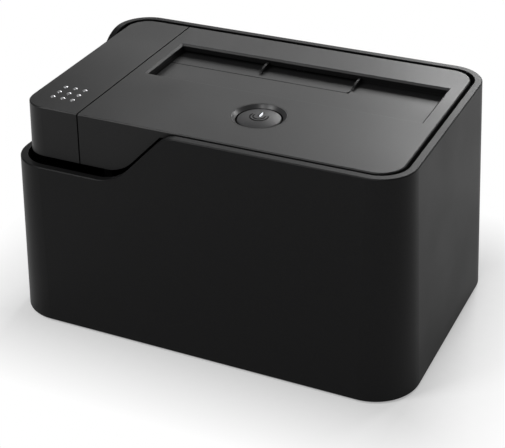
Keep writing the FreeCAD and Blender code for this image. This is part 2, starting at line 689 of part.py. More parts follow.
def make_outer_shell():
    tub = Piece("outer_shell")
    walls = (base_bottom, top)
    outline_x, outline_y = (left, right), (front, back)
    inner = dim.shell_wall
    tub.extrude("walls", "z", walls, lambda s: rounded_rectangle(s, outline_x, outline_y, dim.corner_radius),
                True, taper=dim.draft_angle, downwards=True)
    hollow_x, hollow_y = (left + inner, right - inner), (front + inner, back - inner)
    tub.extrude("hollow", "z", walls,
                lambda s: rounded_rectangle(s, hollow_x, hollow_y, dim.corner_radius - inner),
                False, taper=dim.draft_angle)
    band = dim.corner_radius + dim.shell_wall
    beyond = band + dim.corner_radius
    front_end = left + dim.scoop_front_end
    side_end = front + dim.scoop_side_end
    tub.extrude("front_scoop", "y", (front - beyond, front + band),
                lambda s: scoop(s, left - beyond, front_end, dim.scoop_crest_radius), False, downwards=True)
    tub.extrude("side_scoop", "x", (left - beyond, left + band),
                lambda s: scoop(s, front - beyond, side_end, dim.side_crest_radius), False)
    low_enough = value_of("low_rim_height") - NEAR
    tub.dress("Chamfer", "rim_edge", dim.rim_bevel,
              lambda e: edge_middle(e).z > low_enough and edge_rise(e) < RIM_RISE
              and on_outline(edge_middle(e), 0))
    reach = lid_inset + dim.lid_wall
    ledge = (skirt_bottom - dim.ledge_height, skirt_bottom)
    half = dim.ledge_width / 2
    sunk = dim.shell_wall / 2 - spread * (top - ledge[0])
    for place, middle in enumerate((dim.ledge_near, dim.ledge_far)):
        tub.block(f"front_ledge_{place}", around(middle, half), (front + sunk, front + reach), ledge)
    for place, middle in enumerate((-dim.ledge_near, dim.ledge_far)):
        tub.block(f"back_ledge_{place}", around(middle, half), (back - reach, back - sunk), ledge)
    for place, middle in enumerate((-dim.ledge_side, dim.ledge_side)):
        tub.block(f"right_ledge_{place}", (right - reach, right - sunk), around(middle, half), ledge)
    post_z = (base_top, base_top + dim.post_height)
    inset = dim.shell_wall + dim.post_inset
    post_sunk = dim.shell_wall / 2 - spread * (top - post_z[1])
    for place, (across, along) in enumerate(corner_signs):
        post_x = (right - inset) * across
        post_y = (back - inset) * along
        web = dim.ledge_width / 2
        wall_x = (right - post_sunk) * across
        wall_y = (back - post_sunk) * along
        tub.boss(f"post_{place}", (post_x, post_y), dim.post_radius, post_z)
        tub.block(f"web_x_{place}", ordered(post_x, wall_x), around(post_y, web), post_z)
        tub.block(f"web_y_{place}", around(post_x, web), ordered(post_y, wall_y), post_z)
        tub.bore(f"post_hole_{place}", (post_x, post_y), dim.screw_radius, (base_top, base_screw_end))
    for name, middle, width, height in port_list():
        opening_x = around(middle, width / 2 + dim.port_play)
        opening_z = (board_top - dim.port_play, board_top + height + dim.port_play)
        tub.extrude(f"{name}_opening", "y", (back - dim.corner_radius, back + dim.corner_radius),
                    lambda s, x=opening_x, z=opening_z: rectangle(s, x, z), False)
    return tub.body


def ordered(first, second):
    return (first, second) if float(first) < float(second) else (second, first)


def port_list():
    return (
        ("usb", left + dim.usb_from_left, dim.usb_width, dim.usb_height),
        ("jack", left + dim.jack_from_left, dim.jack_width, dim.jack_height),
    )


def port_mouth(height):
    """Where a socket's face stands, just inside the sloping back wall."""
    return back + spread * (top - board_top - height) - dim.port_recess


def lid_half(label, cut_x):
    """The drafted lid outline with everything on one side of the seam taken off."""
    piece = Piece(label)
    piece.extrude("outside", "z", (skirt_bottom, top),
                  lambda s: rounded_rectangle(s, lid_x, lid_y, lid_corner), True,
                  taper=dim.draft_angle, downwards=True)
    over = dim.corner_radius
    piece.slot("seam_side", cut_x, (front - over, back + over), (skirt_bottom - over, top + over))
    return piece


def skirt_scoop(sketch):
    """Region below the skirt's edge where that rises beside the front slope of the rim."""
    slope = dim.scoop_angle
    radius = dim.scoop_foot_radius - (skirt_bottom - dim.low_rim_height)
    level = skirt_bottom - dim.scoop_lap
    rim_rise = top - dim.low_rim_height
    bends = (dim.scoop_foot_radius + dim.scoop_crest_radius) * (1 - cosine(slope))
    crest_run = dim.scoop_crest_radius * sine(slope)
    rim_ramp_top = left + dim.scoop_front_end - crest_run
    rim_ramp_foot = rim_ramp_top - (rim_rise - bends) / tangent(slope)
    rim_foot_z = dim.low_rim_height + dim.scoop_foot_radius * (1 - cosine(slope))
    foot_z = level + radius * (1 - cosine(slope))
    foot_x = rim_ramp_foot + (foot_z - rim_foot_z) / tangent(slope) - dim.scoop_play / sine(slope)
    start_x = foot_x - radius * sine(slope)
    ramp_end = foot_x + (plate_under - foot_z) / tangent(slope)
    end_x = left + dim.scoop_front_end
    below = level - dim.lid_wall
    turn = math.radians(float(slope))
    bow = Part.Circle(Vector(float(start_x), float(level + radius), 0), Vector(0, 0, 1), float(radius))
    arc = sketch.addGeometry(Part.ArcOfCircle(bow, math.radians(270), math.radians(270) + turn))
    corners = [(foot_x, foot_z), (ramp_end, plate_under), (end_x, plate_under), (end_x, below),
               (start_x, below), (start_x, level)]
    lines = [straight(sketch, first, last) for first, last in zip(corners, corners[1:])]
    chain = [arc] + lines
    for number, item in enumerate(chain):
        following = chain[(number + 1) % len(chain)]
        sketch.addConstraint(Sketcher.Constraint("Coincident", item, 2, following, 1))
    for line, corner in zip(lines, corners):
        held(sketch, "DistanceX", line, 1, corner[0])
        held(sketch, "DistanceY", line, 1, corner[1])
    held(sketch, "DistanceX", lines[-1], 2, start_x)
    held(sketch, "DistanceY", lines[-1], 2, level)
    number = sketch.addConstraint(Sketcher.Constraint("Radius", arc, float(radius)))
    bind(sketch, f"Constraints[{number}]", radius)


def hollow_lid(piece, x):
    y = (lid_y[0] + dim.lid_wall, lid_y[1] - dim.lid_wall)
    piece.extrude("inside", "z", (skirt_bottom, plate_under),
                  lambda s: rounded_rectangle(s, x, y, lid_corner - dim.lid_wall), False,
                  taper=dim.draft_angle)


def bevel_lid(piece):
    level = float(top) - NEAR
    inset = float(lid_inset)
    piece.dress("Chamfer", "top_edge", dim.lid_bevel,
                lambda e: edge_middle(e).z > level and on_outline(edge_middle(e), inset))


def cover_bosses():
    """Where the bay hangs from the cover: in front of it and behind it, at both ends."""
    end_left = slot_x[0] + dim.ear_inset
    end_right = slot_x[1] - dim.ear_inset
    front_y = front_pocket - dim.pocket_wall - dim.boss_radius
    bulge_y = back_pocket + dim.pocket_wall + dim.boss_radius
    wall_y = slot_y[1] + dim.bay_wall + dim.boss_radius
    return [(end_left, front_y), (end_right, front_y), (end_right, wall_y), (end_left, bulge_y)]


def button_posts():
    reach = dim.button_board_width / 2 - dim.boss_radius
    return [(button_x - reach, button_y), (button_x + reach, button_y)]


def make_top_cover():
    cover = lid_half("top_cover", (left - dim.corner_radius, cover_left))
    hollow_lid(cover, (cover_left + dim.lid_wall, lid_x[1] - dim.lid_wall))
    bevel_lid(cover)
    cover.extrude("skirt_scoop", "y", (front, lid_y[0] + dim.lid_wall), skirt_scoop, False)
    through = (plate_under - dim.lid_plate, top + dim.lid_plate)
    cover.slot("drive_slot", slot_x, slot_y, through)
    level = float(top) - NEAR
    low_x, high_x, low_y, high_y = (float(value) for value in (*slot_x, *slot_y))
    cover.dress("Chamfer", "slot_bevel", dim.slot_chamfer,
                lambda e: edge_middle(e).z > level
                and low_x - NEAR < edge_middle(e).x < high_x + NEAR
                and low_y - NEAR < edge_middle(e).y < high_y + NEAR)
    cover.hole("ring_hole", (button_x, button_y), dim.ring_radius, through)
    for place, centre in enumerate(cover_bosses()):
        cover.boss(f"boss_{place}", centre, dim.boss_radius, (plate_under - dim.ear_drop, plate_under))
        cover.bore(f"boss_hole_{place}", centre, dim.screw_radius,
                   (plate_under - dim.ear_drop, plate_under - dim.blind_end))
    for place, centre in enumerate(button_posts()):
        cover.boss(f"button_post_{place}", centre, dim.boss_radius, (button_board_top, plate_under))
        cover.bore(f"button_post_hole_{place}", centre, dim.screw_radius,
                   (button_board_top, button_board_under + dim.button_thread))
    pin_seat = (cover_left, cover_left + dim.lid_wall * 2)
    cover.rod("pin_boss", "x", lever_pivot, dim.lever_lug, pin_seat)
    cover.rod("pin_hole", "x", lever_pivot, dim.lever_pin_radius, pin_seat, adding=False)
    return cover.body


def grip_places():
    middle_x = left + dim.grip_from_left
    middle_y = front + dim.grip_from_front
    steps = range(count_of("grip_count"))
    shift = (value_of("grip_count") - 1) / 2
    return [(middle_x + dim.grip_pitch_x * (i - shift), middle_y + dim.grip_pitch_y * (j - shift))
            for j in steps for i in steps]


def make_eject_lever():
    lever = lid_half("eject_lever", (lever_right, right + dim.corner_radius))
    hollow_lid(lever, (lid_x[0] + dim.lid_wall, lever_right + dim.corner_radius))
    bevel_lid(lever)
    lug_ends = (lever_right - dim.lug_from_seam, rod_x - dim.lug_from_rod)
    lug_spans = [(end - dim.lug_width, end) for end in lug_ends]
    for place, span in enumerate(lug_spans):
        y = around(lever_pivot[0], dim.lever_lug)
        lever.block(f"lug_neck_{place}", span, y, (lever_pivot[1], plate_under))
        lever.rod(f"lug_{place}", "x", lever_pivot, dim.lever_lug, span)
    whole = (lug_spans[1][0] - dim.lever_pin_proud - dim.contact_gap, lug_spans[0][1] + dim.contact_gap)
    lever.rod("lug_bore", "x", lever_pivot, dim.lever_pin_radius + dim.pin_play, whole, adding=False)
    half = dim.rod_width / 2
    lever.block("push_rod", around(rod_x, half), around(rod_y, half), (rod_bottom, plate_under))
    rib = dim.lid_wall / 2
    lever.block("rod_rib", around(rod_x, rib / 2), around(rod_y, dim.rod_rib_length / 2),
                (plate_under - dim.rod_rib_depth, plate_under))
    return lever.body


def make_lever_grips():
    dots = []
    for number, centre in enumerate(grip_places(), start=1):
        dots.append(prism(f"grip_{number}", centre, dim.grip_radius, (top, top + dim.grip_proud),
                          count_of("can_sides")))
    return group("lever_grips", dots)


def make_base():
    base = Piece("base_plate")
    inset = dim.shell_wall + dim.base_gap
    reach = spread * (top - base_bottom)
    x = (left + inset - reach, right - inset + reach)
    y = (front + inset - reach, back - inset + reach)
    base.extrude("plate", "z", (base_bottom, base_top),
                 lambda s: rounded_rectangle(s, x, y, dim.corner_radius - inset + reach), True,
                 taper=-dim.draft_angle)
    for place, centre in enumerate(foot_places()):
        base.boss(f"foot_recess_{place}", centre, dim.foot_radius + dim.hole_play,
                  (base_bottom, base_bottom + dim.foot_sunk), adding=False, flats="foot_sides")
    for place, centre in enumerate(post_places() + leg_places()):
        base.bore(f"screw_hole_{place}", centre, dim.screw_radius + dim.hole_play, (base_bottom, base_top))
        base.boss(f"head_recess_{place}", centre, dim.screw_head_radius + dim.hole_play,
                  (base_bottom, base_bottom + dim.screw_head), adding=False)
    for place, centre in enumerate(standoff_places()):
        base.boss(f"standoff_{place}", centre, dim.boss_radius, (base_top, board_under))
        base.bore(f"standoff_hole_{place}", centre, dim.screw_radius,
                  (board_top - dim.board_thread, board_under))
    cheek_x = around(rocker_x, dim.rocker_hub)
    cheek_z = (base_top, dim.rocker_pivot_height + dim.rocker_hub)
    running = dim.flap_gap
    spans = [(rocker_y[0] - running - dim.cheek, rocker_y[0] - running),
             (rocker_y[1] + running, rocker_y[1] + running + dim.cheek)]
    for place, span in enumerate(spans):
        base.block(f"rocker_cheek_{place}", cheek_x, span, cheek_z)
    base.rod("rocker_pin_hole", "y", (rocker_x, dim.rocker_pivot_height), dim.rocker_pin_radius,
             (spans[0][0], spans[1][1]), adding=False)
    base.boss("return_spring_seat", (rod_x, rod_y), dim.guide_pin_radius,
              (base_top, base_top + dim.spring_seat))
    return base.body


def foot_places():
    return [((right - dim.foot_inset_x) * sx, (back - dim.foot_inset_y) * sy) for sx, sy in corner_signs]


def post_places():
    inset = dim.shell_wall + dim.post_inset
    return [((right - inset) * sx, (back - inset) * sy) for sx, sy in corner_signs]


def leg_places():
    """The bay's two legs: behind its left end and below its right end."""
    behind = (slot_x[0] + dim.leg_left_inset, slot_y[1] + dim.bay_wall + dim.boss_radius)
    below = (slot_x[1] - dim.leg_right_inset, (slot_y[0] + slot_y[1]) / 2)
    return [behind, below]


def standoff_places():
    inset = dim.boss_radius + dim.screw_radius
    back_right = left + (dim.usb_from_left + dim.jack_from_left) / 2
    return [(board_x[0] + inset, board_y[0] + inset), (board_x[1] - inset, board_y[0] + inset),
            (back_right, board_y[1] - inset), (board_x[0] + inset, board_y[1] - inset)]


def make_feet():
    feet = []
    for number, centre in enumerate(foot_places(), start=1):
        foot = Piece(f"rubber_foot_{number}")
        foot.boss("pad", centre, dim.foot_radius, (Size("0"), base_bottom + dim.foot_sunk),
                  flats="foot_sides")
        feet.append(foot.body)
    return feet


def make_bay_guide():
    bay = Piece("bay_guide")
    wall = dim.bay_wall
    skin = dim.pocket_wall
    wide = (slot_x[0] - wall, slot_x[1] + wall)
    front_low = hinge_z - large_reach - dim.flap_gap * 2
    back_low = hinge_z - small_reach - dim.flap_gap * 2
    bay.block("chute", wide, (slot_y[0] - wall, slot_y[1] + wall), (floor_under, plate_under))
    bay.block("front_bulge", wide, (front_pocket - skin, slot_y[0]), (front_low - skin, plate_under))
    bay.block("back_bulge", (wide[0], small_right + dim.flap_gap + wall), (slot_y[1], back_pocket + skin),
              (back_low - skin, plate_under))
    bay.slot("drive_space", slot_x, slot_y, (dim.bay_floor_top, plate_under))
    bay.slot("front_pocket", slot_x, (front_pocket, slot_y[0]), (front_low, plate_under))
    bay.slot("back_pocket", (slot_x[0], small_right + dim.flap_gap), (slot_y[1], back_pocket),
             (back_low, plate_under))
    play = dim.window_play
    windows = (
        ("plug", around(plug_x, dim.plug_length / 2 + play), around(plug_y, dim.plug_thickness / 2 + play)),
        ("left_pad", (pad_left_x[0] - play, pad_left_x[1] + play), (pad_y[0] - play, pad_y[1] + play)),
        ("right_pad", (pad_right_x[0] - play, pad_right_x[1] + play), (pad_y[0] - play, pad_y[1] + play)),
    )
    for name, x, y in windows:
        bay.slot(f"{name}_window", x, y, (floor_under, dim.bay_floor_top))
    ear_z = (plate_under - dim.ear_drop - dim.ear_plate, plate_under - dim.ear_drop)
    for place, centre in enumerate(cover_bosses()):
        reach = dim.boss_radius + skin
        bay.block(f"ear_{place}", around(centre[0], dim.boss_radius), around(centre[1], reach), ear_z)
        bay.bore(f"ear_hole_{place}", centre, dim.screw_radius + dim.hole_play, ear_z)
    for place, centre in enumerate(guide_pins):
        bay.boss(f"guide_pin_{place}", centre, dim.guide_pin_radius, (rocker_top, floor_under))
    leg_tops = (back_low - skin, floor_under + dim.bay_floor / 2)
    for place, (centre, leg_top) in enumerate(zip(leg_places(), leg_tops)):
        bay.block(f"leg_{place}", around(centre[0], dim.boss_radius), around(centre[1], dim.boss_radius),
                  (base_top, leg_top))
        bay.bore(f"leg_hole_{place}", centre, dim.screw_radius, (base_top, base_screw_end))
    pin_span = (slot_x[0] - dim.pin_sunk, slot_x[1] + dim.pin_sunk)
    bay.rod("large_pin_seat", "x", (large_hinge_y, hinge_z), dim.hinge_pin_radius, pin_span, adding=False)
    pin_span = (slot_x[0] - dim.pin_sunk, small_right + dim.flap_gap + dim.pin_sunk)
    bay.rod("small_pin_seat", "x", (small_hinge_y, hinge_z), dim.hinge_pin_radius, pin_span, adding=False)
    return bay.body


def fin_outline(sketch, start, rise_from):
    """A fin's side: a square heel and a back that falls along a quarter of an ellipse to the nose."""
    steps = count_of("fin_steps")
    turns = [math.pi / 2 * number / steps for number in range(steps + 1)]
    heel = start + dim.fin_length
    polygon(sketch, [(heel, rise_from)] + [(heel - dim.fin_length * math.sin(turn),
                                            rise_from + dim.fin_height * math.cos(turn)) for turn in turns])


def fin(flap, name, middle, start):
    span = around(middle, dim.fin_width / 2)
    flap.extrude(name, "x", span, lambda s: fin_outline(s, start, flap_top), True)


def make_large_flap():
    flap = Piece("large_flap")
    gap = dim.flap_gap
    x = (slot_x[0] + gap, slot_x[1] - gap)
    far = slot_y[1] - gap
    notch_x = small_right + gap
    notch_y = small_front - gap
    outline = [(x[0], large_hinge_y), (x[1], large_hinge_y), (x[1], far), (notch_x, far),
               (notch_x, notch_y), (x[0], notch_y)]
    flap.extrude("plate", "z", (flap_under, flap_top), lambda s: polygon(s, outline), True)
    flap.rod("knuckle", "x", (large_hinge_y, hinge_z), dim.hinge_knuckle, x)
    flap.rod("bore", "x", (large_hinge_y, hinge_z), dim.hinge_pin_radius + dim.pin_play, x, adding=False)
    clear = dim.hinge_knuckle + gap
    flap.slot("spring_notch", around((x[0] + x[1]) / 2, dim.spring_notch / 2), around(large_hinge_y, clear),
              around(hinge_z, clear))
    start = slot_y[1] - gap - dim.fin_length
    fin(flap, "fin", notch_x + dim.fin_width / 2, start)
    return flap.body


def make_small_flap():
    flap = Piece("small_flap")
    gap = dim.flap_gap
    x = (slot_x[0] + gap, small_right)
    flap.extrude("plate", "z", (flap_under, flap_top),
                 lambda s: rectangle(s, x, (small_front, small_hinge_y)), True)
    corner = (float(small_right), float(small_front))
    flap.dress("Fillet", "free_corner", dim.flap_corner,
               lambda e: edge_rise(e) > RIM_RISE and abs(edge_middle(e).x - corner[0]) < NEAR
               and abs(edge_middle(e).y - corner[1]) < NEAR)
    flap.rod("knuckle", "x", (small_hinge_y, hinge_z), dim.hinge_knuckle, x)
    flap.rod("bore", "x", (small_hinge_y, hinge_z), dim.hinge_pin_radius + dim.pin_play, x, adding=False)
    clear = dim.hinge_knuckle + gap
    flap.slot("spring_notch", around((x[0] + x[1]) / 2 + dim.small_notch_offset, dim.spring_notch / 2),
              around(small_hinge_y, clear), around(hinge_z, clear))
    fin(flap, "fin", (slot_x[0] + small_right) / 2, slot_y[1] - gap - dim.fin_length)
    return flap.body


def coil(label, middle, along, length, radius, turns):
    """A helical spring of square wire with its axis along Z or X, bent in short straight runs."""
    wire = value_of("spring_wire")
    runs = count_of("spring_runs")
    reach = float(length) - 2 * wire
    steps = [(2 * math.pi * number / runs, reach * number / (turns * runs))
             for number in range(turns * runs + 1)]
    path = Part.makePolygon([Vector(radius * math.cos(turn), radius * math.sin(turn), rise)
                             for turn, rise in steps])
    start = path.Vertexes[0].Point
    heading = (path.Vertexes[1].Point - start).normalize()
    across = Vector(1, 0, 0) - heading * heading.x
    across.normalize()
    square_to = heading.cross(across)
    corners = [start + side * wire for side in (across, square_to, -across, -square_to)]
    section = Part.makePolygon(corners + corners[:1])
    spring = doc.addObject("Part::Feature", label)
    mitred = 1
    spring.Shape = path.makePipeShell([section], True, False, mitred)
    turn = Rotation() if along == "z" else Rotation(Vector(0, 1, 0), 90)
    lift = Vector(0, 0, wire) if along == "z" else Vector(wire, 0, 0)
    spring.Placement = Placement(Vector(*(float(value) for value in middle)) + lift, turn)
    spring.Label = label
    return spring


def make_springs():
    springs = []
    room = value_of("spring_wire") + value_of("spring_play")
    seat = value_of("guide_pin_radius") + room
    for number, (x, y) in enumerate(guide_pins, start=1):
        springs.append(coil(f"ejector_spring_{number}", (x, y, slider_top), "z", floor_under - slider_top,
                            seat, count_of("ejector_coils")))
    rocker_under = dim.rocker_pivot_height - dim.rocker_plate / 2
    springs.append(coil("return_spring", (rod_x, rod_y, base_top), "z", rocker_under - base_top, seat,
                        count_of("return_coils")))
    around_pin = value_of("hinge_pin_radius") + room
    notch = dim.spring_notch - dim.flap_gap * 2
    large_middle = (slot_x[0] + slot_x[1]) / 2
    small_middle = (slot_x[0] + dim.flap_gap + small_right) / 2 + dim.small_notch_offset
    places = (("large", large_middle, large_hinge_y), ("small", small_middle, small_hinge_y))
    for name, middle, hinge_y in places:
        springs.append(coil(f"{name}_flap_spring", (middle - notch / 2, hinge_y, hinge_z), "x", notch,
                            around_pin, count_of("flap_coils")))
    return springs


def make_pins():
    seat = dim.pin_sunk
    large_span = (slot_x[0] - seat, slot_x[1] + seat)
    small_span = (slot_x[0] - seat, small_right + dim.flap_gap + seat)
    lug_end = rod_x - dim.lug_from_rod - dim.lug_width - dim.lever_pin_proud
    cheeks = dim.flap_gap + dim.cheek
    return [
        cylinder("large_flap_pin", (large_hinge_y, hinge_z), dim.hinge_pin_radius, large_span, "x"),
        cylinder("small_flap_pin", (small_hinge_y, hinge_z), dim.hinge_pin_radius, small_span, "x"),
        cylinder("lever_pin", lever_pivot, dim.lever_pin_radius,
                 (lug_end, cover_left + dim.lid_wall * 2), "x"),
        cylinder("rocker_pin", (rocker_x, dim.rocker_pivot_height), dim.rocker_pin_radius,
                 (rocker_y[0] - cheeks, rocker_y[1] + cheeks), "y"),
    ]


def make_rocker():
    rocker = Piece("ejector_rocker")
    level = around(dim.rocker_pivot_height, dim.rocker_plate / 2)
    pad = dim.rod_width / 2
    rocker.block("arms", (rod_x - pad, ridge_x), rocker_y, level)
    rocker.rod("hub", "y", (rocker_x, dim.rocker_pivot_height), dim.rocker_hub, rocker_y)
    ridge_z = rocker_top - dim.ridge_radius
    rocker.rod("ridge", "y", (ridge_x, ridge_z), dim.ridge_radius, rocker_y)
    rocker.rod("bore", "y", (rocker_x, dim.rocker_pivot_height), dim.rocker_pin_radius + dim.pin_play,
               rocker_y, adding=False)
    return rocker.body


def make_slider():
    slider = Piece("ejector_slider")
    level = (slider_under, slider_top)
    pads = (("left", pad_left_x), ("right", pad_right_x))
    plate_y = (rocker_y[0] + dim.slider_set_back, plug_y - dim.plug_thickness / 2 - dim.pad_gap)
    slider.block("plate", (pad_left_x[0], pad_right_x[1]), plate_y, level)
    for name, x in pads:
        slider.block(f"{name}_arm", x, (plate_y[0], pad_y[1]), level)
        slider.block(f"{name}_pad", x, pad_y, (slider_under, dim.bay_floor_top - dim.pad_sunk))
    for place, centre in enumerate(guide_pins):
        slider.boss(f"guide_hole_{place}", centre, dim.guide_pin_radius + dim.pin_play, level, adding=False)
    return slider.body


def make_plug():
    """The drive connector: a tall block with a narrow mouth along its top."""
    plug = Piece("drive_connector")
    x = around(plug_x, dim.plug_length / 2)
    y = around(plug_y, dim.plug_thickness / 2)
    z = (board_top, dim.bay_floor_top)
    plug.block("housing", x, y, z)
    wall = dim.plug_slot
    plug.slot("mouth", (x[0] + wall, x[1] - wall), (y[0] + wall, y[1] - wall), (z[1] - dim.plug_depth, z[1]))
    return plug.body


def make_contacts():
    count = count_of("contact_count")
    inner_back = plug_y + dim.plug_thickness / 2 - dim.plug_slot
    y = (inner_back - dim.contact_thickness, inner_back)
    z = (dim.bay_floor_top - dim.plug_depth, dim.bay_floor_top - dim.contact_sunk)
    contacts = []
    for number in range(count):
        middle = plug_x + dim.contact_pitch * (number - (count - 1) / 2)
        contacts.append(box(f"contact_{number + 1}", around(middle, dim.contact_width / 2), y, z))
    return group("drive_contacts", contacts)


def make_ports():
    ports = []
    usb_x = left + dim.usb_from_left
    mouth = port_mouth(dim.usb_height)
    sheet_metal = dim.usb_sheet
    shell_x = around(usb_x, dim.usb_width / 2)
    shell_y = (mouth - dim.usb_length, mouth)
    shell_z = (board_top, board_top + dim.usb_height)
    ports.append(minus(
        "usb_shell",
        box("usb_outside", shell_x, shell_y, shell_z),
        box("usb_inside", (shell_x[0] + sheet_metal, shell_x[1] - sheet_metal),
            (shell_y[0] + dim.usb_rear, shell_y[1] + sheet_metal),
            (shell_z[0] + sheet_metal, shell_z[1] - sheet_metal)),
    ))
    middle_z = board_top + dim.usb_height / 2
    ports.append(box("usb_tongue", around(usb_x, dim.tongue_width / 2),
                     (shell_y[0] + dim.usb_rear, mouth - dim.tongue_sunk),
                     around(middle_z, dim.tongue_height / 2)))
    jack_x = left + dim.jack_from_left
    mouth = port_mouth(dim.jack_height)
    bore_z = board_top + dim.jack_height / 2 + dim.jack_bore_rise
    bore_end = mouth - dim.jack_depth
    ports.append(minus(
        "power_jack",
        box("jack_block", around(jack_x, dim.jack_width / 2), (mouth - dim.jack_length, mouth),
            (board_top, board_top + dim.jack_height)),
        cylinder("jack_mouth", (jack_x, bore_z), dim.jack_bore, (bore_end, mouth + dim.jack_pin_sunk), "y"),
    ))
    ports.append(cylinder("power_jack_pin", (jack_x, bore_z), dim.jack_pin,
                          (bore_end, mouth - dim.jack_pin_sunk), "y"))
    return ports


def drilled_board(label, x, y, z, centres):
    hole = dim.screw_radius + dim.hole_play
    through = (z[0] - dim.board_thickness, z[1] + dim.board_thickness)
    drills = [prism(f"{label}_hole_{number}", centre, hole, through, count_of("bore_sides"))
              for number, centre in enumerate(centres, start=1)]
    return minus(label, box(label + "_blank", x, y, z), *drills)


def make_boards():
    half_width = dim.button_board_width / 2
    half_depth = dim.button_board_depth / 2
    main = drilled_board("main_board", board_x, board_y, (board_under, board_top), standoff_places())
    button = drilled_board("button_board", around(button_x, half_width), around(button_y, half_depth),
                           (button_board_under, button_board_top), button_posts())
    chip = box("bridge_chip", around(board_x[1] - dim.chip_from_right, dim.chip_side / 2),
               around(board_y[0] + dim.chip_from_front, dim.chip_side / 2),
               (board_top, board_top + dim.chip_height))
    can_z = (board_top, board_top + dim.capacitor_height)
    can_x = board_x[1] - dim.capacitor_from_right
    can_y = board_y[0] + dim.capacitor_from_front
    cans = [prism(f"can_{n + 1}", (can_x, can_y + dim.capacitor_pitch * n), dim.capacitor_radius, can_z,
                  count_of("can_sides")) for n in range(count_of("capacitor_count"))]
    inductor = box("power_inductor", around(board_x[1] - dim.inductor_from_right, dim.inductor_side / 2),
                   around(board_y[0] + dim.inductor_from_front, dim.inductor_side / 2),
                   (board_top, board_top + dim.inductor_height))
    return [main, button, chip, group("board_capacitors", cans), inductor]


def make_screws():
    ear_under = plate_under - dim.ear_drop - dim.ear_plate
    sets = (
        ("base_screws", post_places() + leg_places(), base_bottom + dim.screw_head, dim.base_thread, True),
        ("board_screws", standoff_places(), board_top, dim.board_thread, False),
        ("bay_screws", cover_bosses(), ear_under, dim.bay_thread, True),
        ("button_board_screws", button_posts(), button_board_under, dim.button_thread, True),
    )
    groups = []
    for label, centres, head_under, thread, upwards in sets:
        screws = [screw(f"{label}_{number}", centre, head_under, thread, upwards)
                  for number, centre in enumerate(centres, start=1)]
        groups.append(group(label, screws))
    return groups


def turned(label, points):
    """A turned solid about the button's upright axis, from radius and height pairs."""
    corners = [Vector(float(radius), 0, float(height)) for radius, height in points]
    outline = Part.makePolygon(corners + corners[:1])
    piece = doc.addObject("Part::Feature", label)
    piece.Shape = Part.Face(outline).revolve(Vector(), Vector(0, 0, 1), 360)
    piece.Placement = Placement(Vector(float(button_x), float(button_y), 0), Rotation())
    piece.Label = label
    return piece


def crown():
    """The cap's domed top, from its edge to its middle."""
    steps = count_of("crown_steps")
    shares = [1 - number / steps for number in range(steps + 1)]
    return [(dim.cap_radius * share, cap_edge + dim.cap_crown * (1 - share * share)) for share in shares]


def make_button():
    bore = dim.cap_radius + dim.cap_play
    outside = dim.ring_radius - dim.pin_play
    ring_bottom = top - dim.ring_height
    ring = turned("button_ring", [(bore, ring_bottom), (outside, ring_bottom), (outside, top),
                                  (bore, top - dim.ring_dish)])
    cap_bottom = cap_edge - dim.cap_height
    stem_bottom = button_board_top + dim.switch_height + dim.plunger_proud
    middle = (button_x, button_y)
    cap = minus(
        "cap_shell",
        turned("cap_outside", [(Size("0"), cap_bottom), (dim.cap_radius, cap_bottom)] + crown()),
        prism("cap_inside", middle, dim.cap_radius - dim.cap_wall,
              (cap_bottom - dim.cap_wall, cap_edge - dim.cap_wall), count_of("can_sides")),
    )
    stem_y = button_y - dim.stem_offset
    stem = prism("cap_stem", (button_x, stem_y), dim.stem_radius, (stem_bottom, cap_edge - dim.cap_wall / 2),
                 count_of("can_sides"))
    bar_x = around(button_x, dim.bar_width / 2)
    bar_y = (button_y, button_y + dim.bar_length)
    bar_bottom = cap_edge - dim.bar_drop
    opening = box("bar_opening", bar_x, bar_y, (bar_bottom, top + dim.cap_crown))
    button = minus("power_button", plus("cap_and_stem", cap, stem), opening)
    light = doc.addObject("Part::Common", "light_bar")
    light.Base = box("bar_blank", bar_x, bar_y, (bar_bottom, cap_edge + dim.cap_crown))
    light.Tool = turned("bar_limit", [(Size("0"), bar_bottom), (dim.cap_radius, bar_bottom)] + crown())
    light.Label = "light_bar"
    plunger_z = (stem_bottom - dim.plunger_proud - dim.plunger_sunk, stem_bottom)
    plunger = prism("switch_plunger", (button_x, stem_y), dim.plunger_radius, plunger_z,
                    count_of("boss_sides"))
    side = dim.switch_side / 2
    body_z = (button_board_top, button_board_top + dim.switch_height)
    switch = minus(
        "push_switch",
        box("switch_block", around(button_x, side), around(stem_y, side), body_z),
        prism("switch_well", (button_x, stem_y), dim.plunger_radius + dim.pin_play,
              (plunger_z[0] - dim.button_travel - dim.cap_play, stem_bottom), count_of("boss_sides")),
    )
    led = box("status_led", around(button_x, dim.led_width / 2),
              around(button_y + dim.bar_length / 2, dim.led_depth / 2),
              (button_board_top, button_board_top + dim.led_height))
    return [ring, button, light, plunger, switch, led]


def make_ribbon():
    """The flat lead from the button board down to the main board."""
    x = around(button_x, dim.header_width / 2)
    middle_y = button_y - dim.ribbon_offset
    y = around(middle_y, dim.header_depth / 2)
    upper_z = (button_board_under - dim.header_height, button_board_under)
    lower_z = (board_top, board_top + dim.header_height)
    upper = box("ribbon_header", x, y, upper_z)
    lower = box("ribbon_socket", x, y, lower_z)
    lead = box("button_ribbon", around(button_x, dim.ribbon_width / 2),
               around(middle_y, dim.ribbon_thickness / 2), (lower_z[1], upper_z[0]))
    return [upper, lower, lead]


pieces = [make_outer_shell(), make_top_cover(), make_eject_lever(), make_lever_grips(), make_base()]
pieces += make_feet()
pieces += [make_bay_guide(), make_large_flap(), make_small_flap()]
pieces += make_pins() + make_springs()
pieces += [make_rocker(), make_slider(), make_plug(), make_contacts()]
pieces += make_ports() + make_boards() + make_screws() + make_button() + make_ribbon()
doc.recompute()

